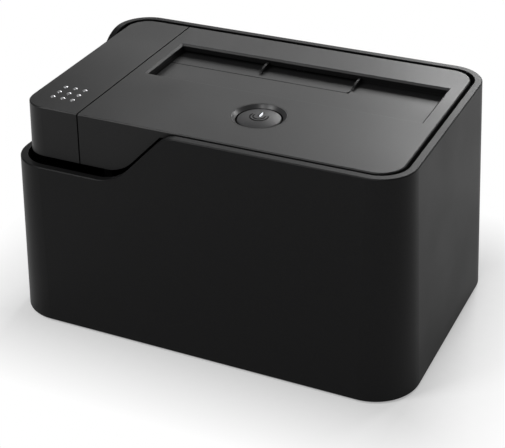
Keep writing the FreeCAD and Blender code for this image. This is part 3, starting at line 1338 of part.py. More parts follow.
for item in doc.Objects:
    if "Invalid" in item.State or "Error" in item.State:
        raise RuntimeError(f"{item.Label} failed: {item.State}")
for item in pieces:
    shape = item.Shape
    if shape.isNull() or not shape.isValid() or not shape.Solids:
        raise RuntimeError(f"{item.Label} has no sound shape")

os.makedirs("parts", exist_ok=True)
for item in pieces:
    item.Shape.exportStep(os.path.join("parts", item.Label + ".step"))
    box_of = item.Shape.BoundBox
    print(f"{item.Label:22s} solids {len(item.Shape.Solids):2d} volume {item.Shape.Volume:9.1f}"
          f" x {box_of.XMin:7.2f} {box_of.XMax:7.2f} y {box_of.YMin:7.2f} {box_of.YMax:7.2f}"
          f" z {box_of.ZMin:6.2f} {box_of.ZMax:6.2f}")
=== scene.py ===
import math

import bmesh
import bpy
from bpy.props import FloatProperty, FloatVectorProperty, IntProperty, PointerProperty
from bpy.types import Operator, Panel, PropertyGroup
from mathutils import Matrix, Vector


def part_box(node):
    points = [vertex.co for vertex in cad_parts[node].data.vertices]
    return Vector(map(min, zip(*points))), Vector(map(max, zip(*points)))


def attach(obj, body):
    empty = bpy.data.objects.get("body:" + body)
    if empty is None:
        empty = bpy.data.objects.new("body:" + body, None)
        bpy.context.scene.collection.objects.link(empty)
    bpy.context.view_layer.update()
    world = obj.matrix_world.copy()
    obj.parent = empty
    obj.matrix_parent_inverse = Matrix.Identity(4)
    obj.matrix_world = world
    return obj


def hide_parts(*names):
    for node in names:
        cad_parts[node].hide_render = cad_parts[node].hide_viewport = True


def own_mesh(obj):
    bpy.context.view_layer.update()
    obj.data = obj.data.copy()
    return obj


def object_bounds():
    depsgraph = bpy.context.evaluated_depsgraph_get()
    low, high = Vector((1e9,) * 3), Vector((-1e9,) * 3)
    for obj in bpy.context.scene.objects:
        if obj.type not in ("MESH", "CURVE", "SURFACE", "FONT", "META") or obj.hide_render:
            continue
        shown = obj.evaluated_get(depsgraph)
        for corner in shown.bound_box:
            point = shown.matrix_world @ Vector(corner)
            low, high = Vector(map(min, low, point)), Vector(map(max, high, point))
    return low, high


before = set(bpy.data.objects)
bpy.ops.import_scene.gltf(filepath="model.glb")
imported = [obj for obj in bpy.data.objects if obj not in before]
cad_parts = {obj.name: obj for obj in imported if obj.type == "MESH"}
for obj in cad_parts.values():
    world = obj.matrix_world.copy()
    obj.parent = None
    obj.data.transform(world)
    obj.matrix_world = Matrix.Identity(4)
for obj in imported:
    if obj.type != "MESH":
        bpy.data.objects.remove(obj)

bl_info = {
    "name": "Drive Dock Finisher",
    "version": (1, 0, 0),
    "blender": (4, 5, 0),
    "location": "3D View > Sidebar > Dock",
    "description": "Finishes an upright hard drive dock: moulded case, button, boards, sockets and studio",
    "category": "Object",
}

MM = 0.001
CAD_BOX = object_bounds()

# Sides of a turned piece
ROUND = 128
SMALL_ROUND = 48

# Points nearer to each other than this are one point
TOUCHING = 1e-6

# Sockets of a Mix node that mixes colours
FACTOR, FIRST, SECOND, MIXED = 0, 6, 7, 2

# Rays that find a seam or a rounded edge
SEAM_SAMPLES = 6

# Colours of the bare metals
STEEL = (0.55, 0.55, 0.56)
TIN = (0.62, 0.62, 0.6)
GOLD = (0.83, 0.6, 0.24)


def colour_property(name, description, default):
    return FloatVectorProperty(name=name, description=description, subtype="COLOR", size=3, min=0, max=1,
                               default=default)


def length_property(name, description, default):
    return FloatProperty(name=name, description=description, subtype="DISTANCE", unit="LENGTH", min=0,
                         precision=5, default=default)


def share_property(name, description, default):
    return FloatProperty(name=name, description=description, subtype="FACTOR", min=0, max=1,
                         default=default)


def angle_property(name, description, degrees):
    return FloatProperty(name=name, description=description, subtype="ANGLE",
                         default=math.radians(degrees))


class CaseFinish(PropertyGroup):
    """The moulded case, its lever and its flaps."""

    tub_colour: colour_property("Tub", "Colour of the outer shell and base", (0.009, 0.009, 0.0093))
    cover_colour: colour_property("Cover", "Colour of the cover, lever and flaps", (0.0088, 0.0088, 0.009))
    inner_colour: colour_property("Bay", "Colour of the drive bay", (0.008, 0.008, 0.008))
    grain: length_property("Grain", "Size of the eroded texture's grains", 0.22 * MM)
    grain_depth: length_property("Grain depth", "Depth of the eroded texture", 0.012 * MM)
    tub_roughness: share_property("Tub roughness", "Roughness of the outer shell", 0.4)
    cover_roughness: share_property("Cover roughness", "Roughness of the cover", 0.38)
    tub_sheen: share_property("Tub reflection", "Specular level of the outer shell", 0.11)
    cover_sheen: share_property("Cover reflection", "Specular level of the cover", 0.21)
    # Reach of the painted shade that darkens colour and gloss in seams and gaps
    painted_shade_reach: length_property("Gap reach", "Walls closer than this darken each other", 2.8 * MM)
    edge_round: length_property("Edge round", "Tiny rounding that moulded edges catch light on", 0.16 * MM)


class ButtonFinish(PropertyGroup):
    """The power button with its ring and symbol."""

    cap_colour: colour_property("Cap", "Colour of the cap", (0.036, 0.036, 0.037))
    ring_colour: colour_property("Ring", "Colour of the glossy ring", (0.02, 0.02, 0.021))
    ring_dish: length_property("Ring dish", "Depth and width of the ring's slope", 1.15 * MM)
    ring_lip: length_property("Ring lip", "Width of the flat edge outside the ring's slope", 0.45 * MM)
    outer_arc: length_property("Outer arc", "Radius of the symbol's outer groove", 3.12 * MM)
    inner_arc: length_property("Inner arc", "Radius of the symbol's inner groove", 2.06 * MM)
    groove_width: length_property("Groove width", "Width of the symbol's grooves", 0.5 * MM)
    groove_depth: length_property("Groove depth", "Depth of the symbol's grooves", 0.22 * MM)
    arc_opening: angle_property("Opening", "Angle that the arcs leave open at the back", 130)
    glow: FloatProperty(name="Glow", description="Brightness of the lit bar", min=0, default=0.85)


class BoardFinish(PropertyGroup):
    """Boards, sockets and what is soldered to them."""

    mask_colour: colour_property("Solder mask", "Colour of the boards", (0.012, 0.085, 0.035))
    trace_colour: colour_property("Traces", "Colour of the mask over copper", (0.03, 0.16, 0.06))
    trace_width: length_property("Trace width", "Width of a trace on the main board", 0.4 * MM)
    trace_count: IntProperty(name="Traces", description="Traces from the chip to the drive connector",
                             min=1, default=8)


class StudioSetup(PropertyGroup):
    """Camera, lamps and floor."""

    camera_place: FloatVectorProperty(name="Camera", description="Where the camera stands", subtype="XYZ",
                                      unit="LENGTH", size=3, default=(0.18499, -0.38752, 0.28211))
    camera_turn: angle_property("Turn", "Camera heading, from straight back towards the left", 25.61)
    camera_tilt: angle_property("Tilt", "How far the camera looks down", 30.6)
    camera_roll: angle_property("Roll", "Camera roll", -1.28)
    lens: FloatProperty(name="Lens", description="Focal length in millimetres", min=1, default=95.92)
    dark_within: FloatProperty(name="Dark within", description="Where the floor starts to fade to white",
                               subtype="DISTANCE", unit="LENGTH", default=-18 * MM)
    white_from: length_property("White from", "Distance from the base where the floor is white", 38 * MM)
    ambient: FloatProperty(name="Ambient", description="Brightness of the room round the object", min=0,
                           default=0.24)


# Node trees
class Finish:
    """A procedural material, built up one layer at a time on a Principled shader."""

    def __init__(self, name, colour, roughness=0.5, level=0.5, metallic=0.0):
        self.material = bpy.data.materials.new(name)
        self.material.use_nodes = True
        self.tree = self.material.node_tree
        self.shader = self.tree.nodes["Principled BSDF"]
        self.shader.inputs["Base Color"].default_value = (*colour, 1)
        self.shader.inputs["Roughness"].default_value = roughness
        self.shader.inputs["Specular IOR Level"].default_value = level
        self.shader.inputs["Metallic"].default_value = metallic
        self.place = self.node("ShaderNodeTexCoord").outputs["Object"]
        self.normal = None

    def node(self, kind, **settings):
        item = self.tree.nodes.new(kind)
        for name, value in settings.items():
            setattr(item, name, value)
        return item

    def link(self, source, target):
        self.tree.links.new(source, target)

    def noise(self, size, detail=2.0, stretch=(1, 1, 1)):
        """Noise whose cells are size metres across, more or less, longer where stretch is over 1."""
        item = self.node("ShaderNodeTexNoise")
        item.inputs["Scale"].default_value = 1.0
        item.inputs["Detail"].default_value = detail
        self.link(self.scaled([1 / (size * part) for part in stretch]), item.inputs["Vector"])
        return item.outputs["Fac"]

    def scaled(self, scale):
        mapping = self.node("ShaderNodeMapping")
        mapping.inputs["Scale"].default_value = scale
        self.link(self.place, mapping.inputs["Vector"])
        return mapping.outputs["Vector"]

    def cells(self, size, feature="F1"):
        item = self.node("ShaderNodeTexVoronoi", feature=feature)
        item.inputs["Scale"].default_value = 1.0
        self.link(self.scaled([1 / size] * 3), item.inputs["Vector"])
        return item.outputs["Distance"]

    def spread(self, factor, low, high, start=0.3, end=0.7):
        """factor from start to end becomes low to high."""
        item = self.node("ShaderNodeMapRange")
        for name, value in zip(("From Min", "From Max", "To Min", "To Max"), (start, end, low, high)):
            item.inputs[name].default_value = value
        self.link(factor, item.inputs["Value"])
        return item.outputs["Result"]

    def blend_colours(self, factor, first, second, start=0.4, end=0.6):
        item = self.node("ShaderNodeMix", data_type="RGBA")
        item.inputs[FIRST].default_value = (*first, 1)
        item.inputs[SECOND].default_value = (*second, 1)
        self.link(self.spread(factor, 0, 1, start, end), item.inputs[FACTOR])
        return item.outputs[MIXED]

    def mottle(self, colour, size, amount):
        """The colour wavers by a share of itself."""
        darker = [part * (1 - amount) for part in colour]
        lighter = [min(1, part * (1 + amount)) for part in colour]
        mixed = self.blend_colours(self.noise(size), darker, lighter, 0.3, 0.7)
        self.link(mixed, self.shader.inputs["Base Color"])
        return self

    def uneven_gloss(self, size, low, high):
        self.link(self.spread(self.noise(size), low, high), self.shader.inputs["Roughness"])
        return self

    def painted_gap_shade(self, reach, covered=0.45, clear=0.72):
        """Painted shade in seams: colour and gloss fade where walls stand closer than reach."""
        sky = self.node("ShaderNodeAmbientOcclusion", samples=SEAM_SAMPLES)
        sky.inputs["Distance"].default_value = reach
        share = self.spread(sky.outputs["AO"], 0, 1, covered, clear)
        for name, shaded in (("Base Color", (0, 0, 0, 1)), ("Roughness", (1, 1, 1, 1))):
            socket = self.shader.inputs[name]
            mix = self.node("ShaderNodeMix", data_type="RGBA")
            mix.inputs[FIRST].default_value = shaded
            self.link(socket.links[0].from_socket, mix.inputs[SECOND])
            self.link(share, mix.inputs[FACTOR])
            self.link(mix.outputs[MIXED], socket)
        return self

    def rounded_edges(self, radius):
        item = self.node("ShaderNodeBevel", samples=SEAM_SAMPLES)
        item.inputs["Radius"].default_value = radius
        self.normal = item.outputs["Normal"]
        self.link(self.normal, self.shader.inputs["Normal"])
        return self

    def bump(self, height, depth, strength=1.0):
        item = self.node("ShaderNodeBump")
        item.inputs["Strength"].default_value = strength
        item.inputs["Distance"].default_value = depth
        self.link(height, item.inputs["Height"])
        if self.normal:
            self.link(self.normal, item.inputs["Normal"])
        self.normal = item.outputs["Normal"]
        self.link(self.normal, self.shader.inputs["Normal"])
        return self


def moulded(name, colour, roughness, level, look):
    """Plastic with the fine grain of a spark-eroded mould."""
    finish = Finish(name, colour, roughness, level)
    finish.mottle(colour, size=look.grain * 3, amount=0.12)
    finish.uneven_gloss(size=30 * MM, low=roughness - 0.02, high=roughness + 0.03)
    # Painted shade: seams and gaps between parts are darkened in the colour and gloss
    finish.painted_gap_shade(look.painted_shade_reach)
    finish.rounded_edges(look.edge_round)
    finish.bump(finish.noise(look.grain, detail=3.0), look.grain_depth, strength=0.8)
    finish.bump(finish.cells(look.grain * 1.7), look.grain_depth / 2, strength=0.5)
    return finish.material


def smooth_plastic(name, colour, roughness=0.35, level=0.5):
    finish = Finish(name, colour, roughness, level)
    finish.mottle(colour, size=2.5 * MM, amount=0.06)
    finish.uneven_gloss(size=6 * MM, low=roughness - 0.04, high=roughness + 0.05)
    finish.bump(finish.noise(1.2 * MM), depth=0.004 * MM, strength=0.5)
    return finish.material


def metal(name, colour, roughness, along=(1, 1, 1)):
    """Metal with drawing or rolling marks that run along the stretched axis."""
    finish = Finish(name, colour, roughness, metallic=1.0)
    finish.mottle(colour, size=1.5 * MM, amount=0.08)
    marks = finish.noise(0.06 * MM, detail=4.0, stretch=along)
    gloss = finish.spread(marks, roughness - 0.07, roughness + 0.1)
    finish.link(gloss, finish.shader.inputs["Roughness"])
    finish.bump(marks, depth=0.002 * MM, strength=0.6)
    return finish.material


# Mesh pieces
def mesh_data(name, mesh):
    """Mesh data with its faces turned outwards, from a bmesh that is then freed."""
    data = bpy.data.meshes.new(name)
    bmesh.ops.recalc_face_normals(mesh, faces=mesh.faces[:])
    mesh.to_mesh(data)
    mesh.free()
    return data


def placed(name, data):
    """A new object in the scene that holds the data."""
    item = bpy.data.objects.new(name, data)
    bpy.context.scene.collection.objects.link(item)
    return item


def keep_creases(data, degrees):
    """Shades a mesh smooth, apart from the edges that turn by more than the angle."""
    data.shade_smooth()
    data.set_sharp_from_angle(angle=math.radians(degrees))


def new_piece(name, mesh, body, stands_for, materials, sharp=35):
    """Links a finished bmesh as one piece that rides on a body and stands for CAD nodes."""
    data = mesh_data(name, mesh)
    for material in materials:
        data.materials.append(material)
    keep_creases(data, sharp)
    piece = placed(name, data)
    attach(piece, body)
    if stands_for:
        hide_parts(*stands_for)
    return piece


def dress(material, *nodes):
    """CAD nodes whose shape is right take a finish."""
    for name in nodes:
        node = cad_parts[name]
        if node.material_slots:
            node.material_slots[0].material = material
        else:
            node.data.materials.append(material)


def turn(mesh, profile, centre, count, closed=True):
    """Turns (radius, height) pairs about an upright axis through centre."""
    rings = []
    for radius, height in profile:
        if radius < TOUCHING:
            rings.append([mesh.verts.new((centre[0], centre[1], height))] * count)
            continue
        angles = [2 * math.pi * step / count for step in range(count)]
        spots = [(radius * math.cos(angle), radius * math.sin(angle)) for angle in angles]
        rings.append([mesh.verts.new((centre[0] + x, centre[1] + y, height)) for x, y in spots])
    pairs = list(zip(rings, rings[1:]))
    if closed:
        pairs.append((rings[-1], rings[0]))
    for lower, upper in pairs:
        for step in range(count):
            after = (step + 1) % count
            corners = [lower[step], lower[after], upper[after], upper[step]]
            distinct = list(dict.fromkeys(corners))
            if len(distinct) > 2:
                mesh.faces.new(distinct)
    return mesh


def rounded_corner(corner, before, after, radius, steps=4):
    """Points that round the corner of a (radius, height) outline between its two neighbours."""
    corner, before, after = (Vector(point) for point in (corner, before, after))
    to_before = (before - corner).normalized()
    to_after = (after - corner).normalized()
    half = to_before.angle(to_after) / 2
    run = radius / math.tan(half)
    middle = corner + (to_before + to_after).normalized() * (radius / math.sin(half))
    start = corner + to_before * run - middle
    end = corner + to_after * run - middle
    points = []
    for step in range(steps + 1):
        mixed = start.lerp(end, step / steps)
        points.append(tuple(middle + mixed.normalized() * radius))
    return points


def skin(mesh, rows):
    """Faces between rows of as many points each, closed at both ends."""
    count = len(rows[0])
    for first, second in zip(rows, rows[1:]):
        for side in range(count):
            after = (side + 1) % count
            mesh.faces.new((first[side], first[after], second[after], second[side]))
    mesh.faces.new(rows[0][::-1])
    mesh.faces.new(rows[-1])
    return mesh


def prism(mesh, outline, low, high):
    """An upright bar whose section is the outline of (x, y) points."""
    return skin(mesh, [[mesh.verts.new((x, y, height)) for x, y in outline] for height in (low, high)])


def brick(mesh, low, high, lean=0.0):
    """A box whose top is drawn in by lean on each side."""
    rows = []
    for height, inset in ((low[2], 0.0), (high[2], lean)):
        left, right = low[0] + inset, high[0] - inset
        front, back = low[1] + inset, high[1] - inset
        corners = ((left, front), (right, front), (right, back), (left, back))
        rows.append([mesh.verts.new((x, y, height)) for x, y in corners])
    return skin(mesh, rows)


def cross(mesh, middle, arm, half, low, high):
    """An upright bar with the section of a plus sign."""
    outline = []
    for turned in range(4):
        for x, y in ((arm, half), (half, half), (half, arm)):
            for _ in range(turned):
                x, y = -y, x
            outline.append((middle.x + x, middle.y + y))
    return prism(mesh, outline, low, high)


def cut_away(piece, cutter_mesh):
    """Boolean difference, applied. The cutter is thrown away."""
    cutter = placed("cutter", mesh_data("cutter", cutter_mesh))
    modifier = piece.modifiers.new("cut", "BOOLEAN")
    modifier.operation = "DIFFERENCE"
    modifier.solver = "EXACT"
    modifier.object = cutter
    bpy.context.view_layer.update()
    graph = bpy.context.evaluated_depsgraph_get()
    result = bpy.data.meshes.new_from_object(piece.evaluated_get(graph))
    if not result.vertices:
        raise RuntimeError(f"nothing is left of {piece.name} after its cut")
    piece.modifiers.remove(modifier)
    piece.data = result
    bpy.data.objects.remove(cutter)


def islands(node):
    """Lowest and highest corner of each separate solid of a CAD node."""
    mesh = bmesh.new()
    mesh.from_mesh(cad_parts[node].data)
    bmesh.ops.remove_doubles(mesh, verts=mesh.verts[:], dist=TOUCHING)
    left = set(mesh.verts)
    boxes = []
    while left:
        queue = [left.pop()]
        found = []
        while queue:
            vertex = queue.pop()
            found.append(vertex.co.copy())
            for edge in vertex.link_edges:
                other = edge.other_vert(vertex)
                if other in left:
                    left.remove(other)
                    queue.append(other)
        low = Vector([min(point[axis] for point in found) for axis in range(3)])
        high = Vector([max(point[axis] for point in found) for axis in range(3)])
        boxes.append((low, high))
    mesh.free()
    return sorted(boxes, key=lambda pair: (round(pair[0].x, 5), round(pair[0].y, 5)))


def middle_of(pair):
    return (pair[0] + pair[1]) / 2


def arc_strip(mesh, centre, radius, width, start, end, heights, steps=72):
    """A curved bar of rectangular section, for a groove."""
    near, far = radius - width / 2, radius + width / 2
    low, high = heights
    rows = []
    for step in range(steps + 1):
        angle = start + (end - start) * step / steps
        row = []
        for reach, height in ((near, low), (far, low), (far, high), (near, high)):
            x = centre[0] + reach * math.cos(angle)
            y = centre[1] + reach * math.sin(angle)
            row.append(mesh.verts.new((x, y, height)))
        rows.append(row)
    return skin(mesh, rows)


class DOCK_OT_case(Operator):
    """Finish the tub, cover, lever, base and bay"""

    bl_idname = "dock.case"
    bl_label = "Case"

    def execute(self, context):
        look = context.scene.dock_case
        tub = moulded("tub_plastic", look.tub_colour, look.tub_roughness, look.tub_sheen, look)
        cover = moulded("cover_plastic", look.cover_colour, look.cover_roughness, look.cover_sheen, look)
        inner = smooth_plastic("bay_plastic", look.inner_colour, roughness=0.45, level=0.3)
        dress(tub, "outer_shell", "base_plate")
        dress(cover, "top_cover", "eject_lever")
        dress(inner, "bay_guide")
        return {"FINISHED"}


class DOCK_OT_grip_dots(Operator):
    """Make the domed dots on the lever, in a silver metal that paints their highlight"""

    bl_idname = "dock.grip_dots"
    bl_label = "Grip dots"

    def execute(self, context):
        # Bright silver metal paints the highlight that the lever's dark glossy domes catch
        highlight_silver = (0.42, 0.42, 0.43)
        finish = Finish("bright_dots", highlight_silver, roughness=0.33, level=0.6, metallic=0.8)
        finish.mottle(highlight_silver, size=0.3 * MM, amount=0.05)
        finish.bump(finish.noise(0.1 * MM), depth=0.002 * MM, strength=0.4)
        steps = 8
        mesh = bmesh.new()
        for low, high in islands("lever_grips"):
            middle = (low + high) / 2
            radius = (high.x - low.x) / 2
            height = high.z - low.z
            ball = (radius * radius + height * height) / (2 * height)
            reach = math.asin(radius / ball)
            profile = []
            for step in range(steps + 1):
                angle = reach * (1 - step / steps)
                profile.append((ball * math.sin(angle), high.z - ball + ball * math.cos(angle)))
            profile.append((0.0, low.z))
            turn(mesh, profile, middle, SMALL_ROUND)
        new_piece("grip_domes", mesh, "eject_lever", ["lever_grips"], [finish.material],
                  sharp=50)
        return {"FINISHED"}


class DOCK_OT_flaps(Operator):
    """Finish the two flaps and the hinge pins"""

    bl_idname = "dock.flaps"
    bl_label = "Flaps"

    def execute(self, context):
        look = context.scene.dock_case
        plastic = moulded("flap_plastic", look.cover_colour, look.cover_roughness, look.cover_sheen, look)
        dress(plastic, "large_flap", "small_flap")
        pins = metal("hinge_pin_steel", STEEL, roughness=0.28, along=(40, 1, 1))
        dress(pins, "large_flap_pin", "small_flap_pin", "lever_pin")
        dress(metal("rocker_pin_steel", STEEL, roughness=0.28, along=(1, 40, 1)), "rocker_pin")
        return {"FINISHED"}


class DOCK_OT_power_button(Operator):
    """Make the domed cap with its grooved symbol, the glossy ring and the lit bar"""

    bl_idname = "dock.power_button"
    bl_label = "Power button"

    def execute(self, context):
        look = context.scene.dock_button
        self.make_ring(look, context.scene.dock_case)
        self.make_cap(look)
        self.make_bar(look)
        return {"FINISHED"}

    def make_ring(self, look, case):
        """A narrow lip, a slope of 45 degrees inside it and a floor round the cap in near-black painted
        shade.
        """
        low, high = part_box("button_ring")
        middle = middle_of((low, high))
        cap_low, cap_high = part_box("power_button")
        play = 0.15 * MM
        inside = (cap_high.x - cap_low.x) / 2 + play
        outside = (high.x - low.x) / 2
        brow = outside - look.ring_lip
        foot = brow - look.ring_dish
        seat = high.z - look.ring_dish
        profile = [(inside, low.z), (outside, low.z), (outside, high.z)]
        profile += rounded_corner((brow, high.z), (outside, high.z), (foot, seat), look.ring_lip / 3)
        profile += [(foot, seat), (inside, seat)]
        gloss = Finish("ring_gloss", look.ring_colour, roughness=0.36)
        gloss.mottle(look.ring_colour, size=3 * MM, amount=0.08)
        gloss.uneven_gloss(size=4 * MM, low=0.33, high=0.39)
        gloss.bump(gloss.noise(1.6 * MM), depth=0.006 * MM, strength=0.35)
        # Near-black painted shade for the ring's deep floor and bore round the cap
        shade = smooth_plastic("ring_painted_shade", (0.003, 0.003, 0.003), roughness=0.8, level=0.05)
        lip = moulded("ring_lip", case.cover_colour, case.cover_roughness, case.cover_sheen, case)
        mesh = turn(bmesh.new(), profile, middle, ROUND)
        materials = [gloss.material, shade, lip]
        ring = new_piece("gloss_ring", mesh, "case", ["button_ring"], materials, sharp=40)
        below_seat = seat - 0.01 * MM
        lip_edge = outside - look.ring_lip * 1.1
        for face in ring.data.polygons:
            out = (face.center - middle).xy.length
            # Faces below the seat and inside the foot take the painted shade
            if out < foot or face.center.z < below_seat:
                face.material_index = materials.index(shade)
            elif out > lip_edge:
                face.material_index = materials.index(lip)

    def make_cap(self, look):
        """A domed cap on a skirt, with the symbol's grooves and the bar's slot cut into it."""
        low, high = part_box("power_button")
        middle = middle_of((low, high))
        play = 0.25 * MM
        crown = 0.9 * MM
        skirt = 5.4 * MM
        wall = 1.2 * MM
        rim = 0.3 * MM
        radius = (high.x - low.x) / 2 - play
        edge = high.z - crown
        under = edge - wall
        ball = (radius * radius + crown * crown) / (2 * crown)

        def dome(reach):
            return high.z - ball + math.sqrt(ball * ball - reach * reach)

        steps = 24
        reaches = [radius * (1 - step / steps) for step in range(1, steps + 1)]
        bevel = (radius - rim * 0.3, edge - rim * 0.35)
        profile = [(radius - wall, edge - skirt), (radius, edge - skirt), (radius, edge - rim), bevel,
                   (radius - rim, dome(radius - rim))]
        profile += [(reach, dome(reach)) for reach in reaches]
        profile += [(0.0, under), (radius - wall, under)]
        satin = Finish("cap_satin", look.cap_colour, roughness=0.42, level=0.21)
        satin.mottle(look.cap_colour, size=0.8 * MM, amount=0.08)
        satin.uneven_gloss(size=5 * MM, low=0.39, high=0.45)
        satin.bump(satin.noise(0.16 * MM, detail=3.0), depth=0.005 * MM, strength=0.5)
        groove = smooth_plastic("groove_black", (0.004, 0.004, 0.004), roughness=0.6, level=0.1)
        materials = [satin.material, groove]
        mesh = turn(bmesh.new(), profile, middle, ROUND)
        cap = new_piece("button_cap", mesh, "power_button", ["power_button"],
                        materials, sharp=40)
        cut_away(cap, self.symbol_cutter(look, middle, dome, under + wall / 2, high.z + crown))
        symbol_reach = radius * 0.6
        symbol_floor = edge - wall * 0.6
        for face in cap.data.polygons:
            out = (face.center - middle).xy.length
            sunk = face.center.z < dome(min(out, radius)) - look.groove_depth * 0.2
            if sunk and face.center.z > symbol_floor and out < symbol_reach:
                face.material_index = materials.index(groove)
        keep_creases(cap.data, 30)
        stem_radius = 1.8 * MM
        stem_forward = 3.6 * MM
        outline = [(0.0, low.z), (stem_radius, low.z), (stem_radius, under), (0.0, under)]
        stem = turn(bmesh.new(), outline, (middle.x, middle.y - stem_forward), SMALL_ROUND, closed=False)
        new_piece("cap_stem", stem, "power_button", [], [satin.material])

    def symbol_cutter(self, look, middle, dome, slot_floor, clear):
        """Two arcs that are open at the back, and the slot for the lit bar."""
        cutter = bmesh.new()
        start = math.pi / 2 + look.arc_opening / 2
        end = math.pi * 5 / 2 - look.arc_opening / 2
        for reach in (look.outer_arc, look.inner_arc):
            heights = (dome(reach) - look.groove_depth, clear)
            arc_strip(cutter, middle, reach, look.groove_width, start, end, heights)
        low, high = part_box("light_bar")
        margin = 0.2 * MM
        return brick(cutter, (low.x - margin, low.y - margin, slot_floor),
                     (high.x + margin, high.y + margin, clear))

    def make_bar(self, look):
        white = (0.9, 0.93, 0.96)
        lit = Finish("lit_bar_white", white, roughness=0.3)
        lit.mottle(white, size=0.6 * MM, amount=0.04)
        lit.shader.inputs["Emission Color"].default_value = (0.93, 0.97, 1.0, 1)
        dimmest = look.glow * 0.94
        glow = lit.spread(lit.noise(0.8 * MM), dimmest, look.glow)
        lit.link(glow, lit.shader.inputs["Emission Strength"])
        low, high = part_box("light_bar")
        slim = Vector((0.3 * MM, 0.3 * MM, 0))
        mesh = brick(bmesh.new(), low + slim, high - slim, lean=0.05 * MM)
        new_piece("lit_bar", mesh, "power_button", ["light_bar"], [lit.material])


class DOCK_OT_feet(Operator):
    """Make the rubber feet with their rounded edges"""

    bl_idname = "dock.feet"
    bl_label = "Feet"

    def execute(self, context):
        black = (0.018, 0.018, 0.018)
        rubber = Finish("foot_rubber", black, roughness=0.85, level=0.25)
        rubber.mottle(black, size=0.6 * MM, amount=0.25)
        rubber.bump(rubber.noise(0.25 * MM, detail=4.0), depth=0.03 * MM, strength=0.7)
        hollow = 0.15 * MM
        edge_round = 0.35 * MM
        for number in range(1, 5):
            node = f"rubber_foot_{number}"
            low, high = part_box(node)
            radius = (high.x - low.x) / 2
            tread = (radius * 0.68, low.z)
            profile = [(0.0, low.z + hollow), (radius * 0.62, low.z + hollow), tread]
            profile += rounded_corner((radius, low.z), tread, (radius, high.z), edge_round)
            profile += [(radius, high.z), (0.0, high.z)]
            mesh = turn(bmesh.new(), profile, middle_of((low, high)), count=64, closed=False)
            new_piece(f"rubber_pad_{number}", mesh, "case", [node], [rubber.material])
        return {"FINISHED"}


class DOCK_OT_screws(Operator):
    """Make pan-head screws with cross recesses and threads"""

    bl_idname = "dock.screws"
    bl_label = "Screws"

    def execute(self, context):
        plated = metal("screw_zinc", (0.5, 0.5, 0.48), roughness=0.33)
        for node in ("base_screws", "board_screws", "bay_screws", "button_board_screws"):
            mesh = bmesh.new()
            recesses = bmesh.new()
            for pair in islands(node):
                self.add_screw(mesh, recesses, pair, downwards=node == "board_screws")
            name = node.replace("screws", "pan_head_screws")
            piece = new_piece(name, mesh, "case", [node], [plated])
            cut_away(piece, recesses)
            keep_creases(piece.data, 35)
        return {"FINISHED"}

    def add_screw(self, mesh, recesses, pair, downwards):
        low, high = pair
        middle = middle_of(pair)
        head = (high.x - low.x) / 2
        head_height = 1.3 * MM
        core = 0.7 * MM
        crest = 0.9 * MM
        pitch = 0.8 * MM
        point = 0.5 * MM
        sense = -1 if downwards else 1
        face, tip = (high.z, low.z) if downwards else (low.z, high.z)
        pan = ((0.0, 0.0), (head * 0.45, 0.05 * MM), (head * 0.8, 0.28 * MM), (head, 0.7 * MM),
               (head, head_height), (core, head_height))
        thread = ((core, 0.0), (crest, pitch * 0.3), (core, pitch * 0.6))
        run_in = pitch * 0.4
        outline = [(radius, face + sense * along) for radius, along in pan]
        turns = int((abs(tip - face) - head_height) / pitch) - 1
        for number in range(turns):
            base = head_height + run_in + pitch * number
            outline += [(radius, face + sense * (base + along)) for radius, along in thread]
        outline += [(core, tip - sense * point), (core * 0.4, tip), (0.0, tip)]
        turn(mesh, outline, middle, SMALL_ROUND, closed=False)
        arm = head * 0.6
        half = 0.28 * MM
        recess_depth = 0.75 * MM
        spare = 0.5 * MM
        cross(recesses, middle, arm, half, *sorted((face - sense * spare, face + sense * recess_depth)))


class DOCK_OT_springs(Operator):
    """Wind the springs in round wire"""

    bl_idname = "dock.springs"
    bl_label = "Springs"

    def execute(self, context):
        wire = metal("spring_wire", (0.6, 0.6, 0.61), roughness=0.25)
        upright = (("ejector_spring_1", 3), ("ejector_spring_2", 3), ("return_spring", 4))
        for node, turns in upright:
            low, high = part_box(node)
            piece = self.wind(node, low, high, turns, 2, "case", wire)
            if node == "return_spring":
                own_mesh(piece)
            else:
                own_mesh(piece)
        for body in ("large_flap", "small_flap"):
            node = body + "_spring"
            low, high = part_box(node)
            self.wind(node, low, high, 3, 0, body, wire)
        return {"FINISHED"}

    def wind(self, node, low, high, turns, axis, body, material):
        """Round wire wound about one axis of the box from low to high."""
        wire_radius = 0.25 * MM
        middle = middle_of((low, high))
        other = (axis + 1) % 3
        third = (axis + 2) % 3
        reach = max(high[other] - low[other], high[third] - low[third]) / 2 - wire_radius
        start, end = low[axis] + wire_radius, high[axis] - wire_radius
        steps_each_turn = 36
        steps = turns * steps_each_turn
        sides = 8
        mesh = bmesh.new()
        rings = []
        for step in range(steps + 1):
            angle = 2 * math.pi * step * turns / steps
            ring = []
            for side in range(sides):
                around = 2 * math.pi * side / sides
                out = reach + wire_radius * math.cos(around)
                place = Vector((0, 0, 0))
                place[other] = middle[other] + out * math.cos(angle)
                place[third] = middle[third] + out * math.sin(angle)
                place[axis] = start + (end - start) * step / steps + wire_radius * math.sin(around)
                ring.append(mesh.verts.new(place))
            rings.append(ring)
        skin(mesh, rings)
        name = node.replace("spring", "coil")
        return new_piece(name, mesh, body, [node], [material], sharp=60)


class DOCK_OT_mechanism(Operator):
    """Finish the ejector's rocker and slider"""

    bl_idname = "dock.mechanism"
    bl_label = "Mechanism"

    def execute(self, context):
        white = smooth_plastic("white_acetal", (0.68, 0.67, 0.63), roughness=0.42, level=0.45)
        dress(white, "ejector_rocker", "ejector_slider")
        return {"FINISHED"}


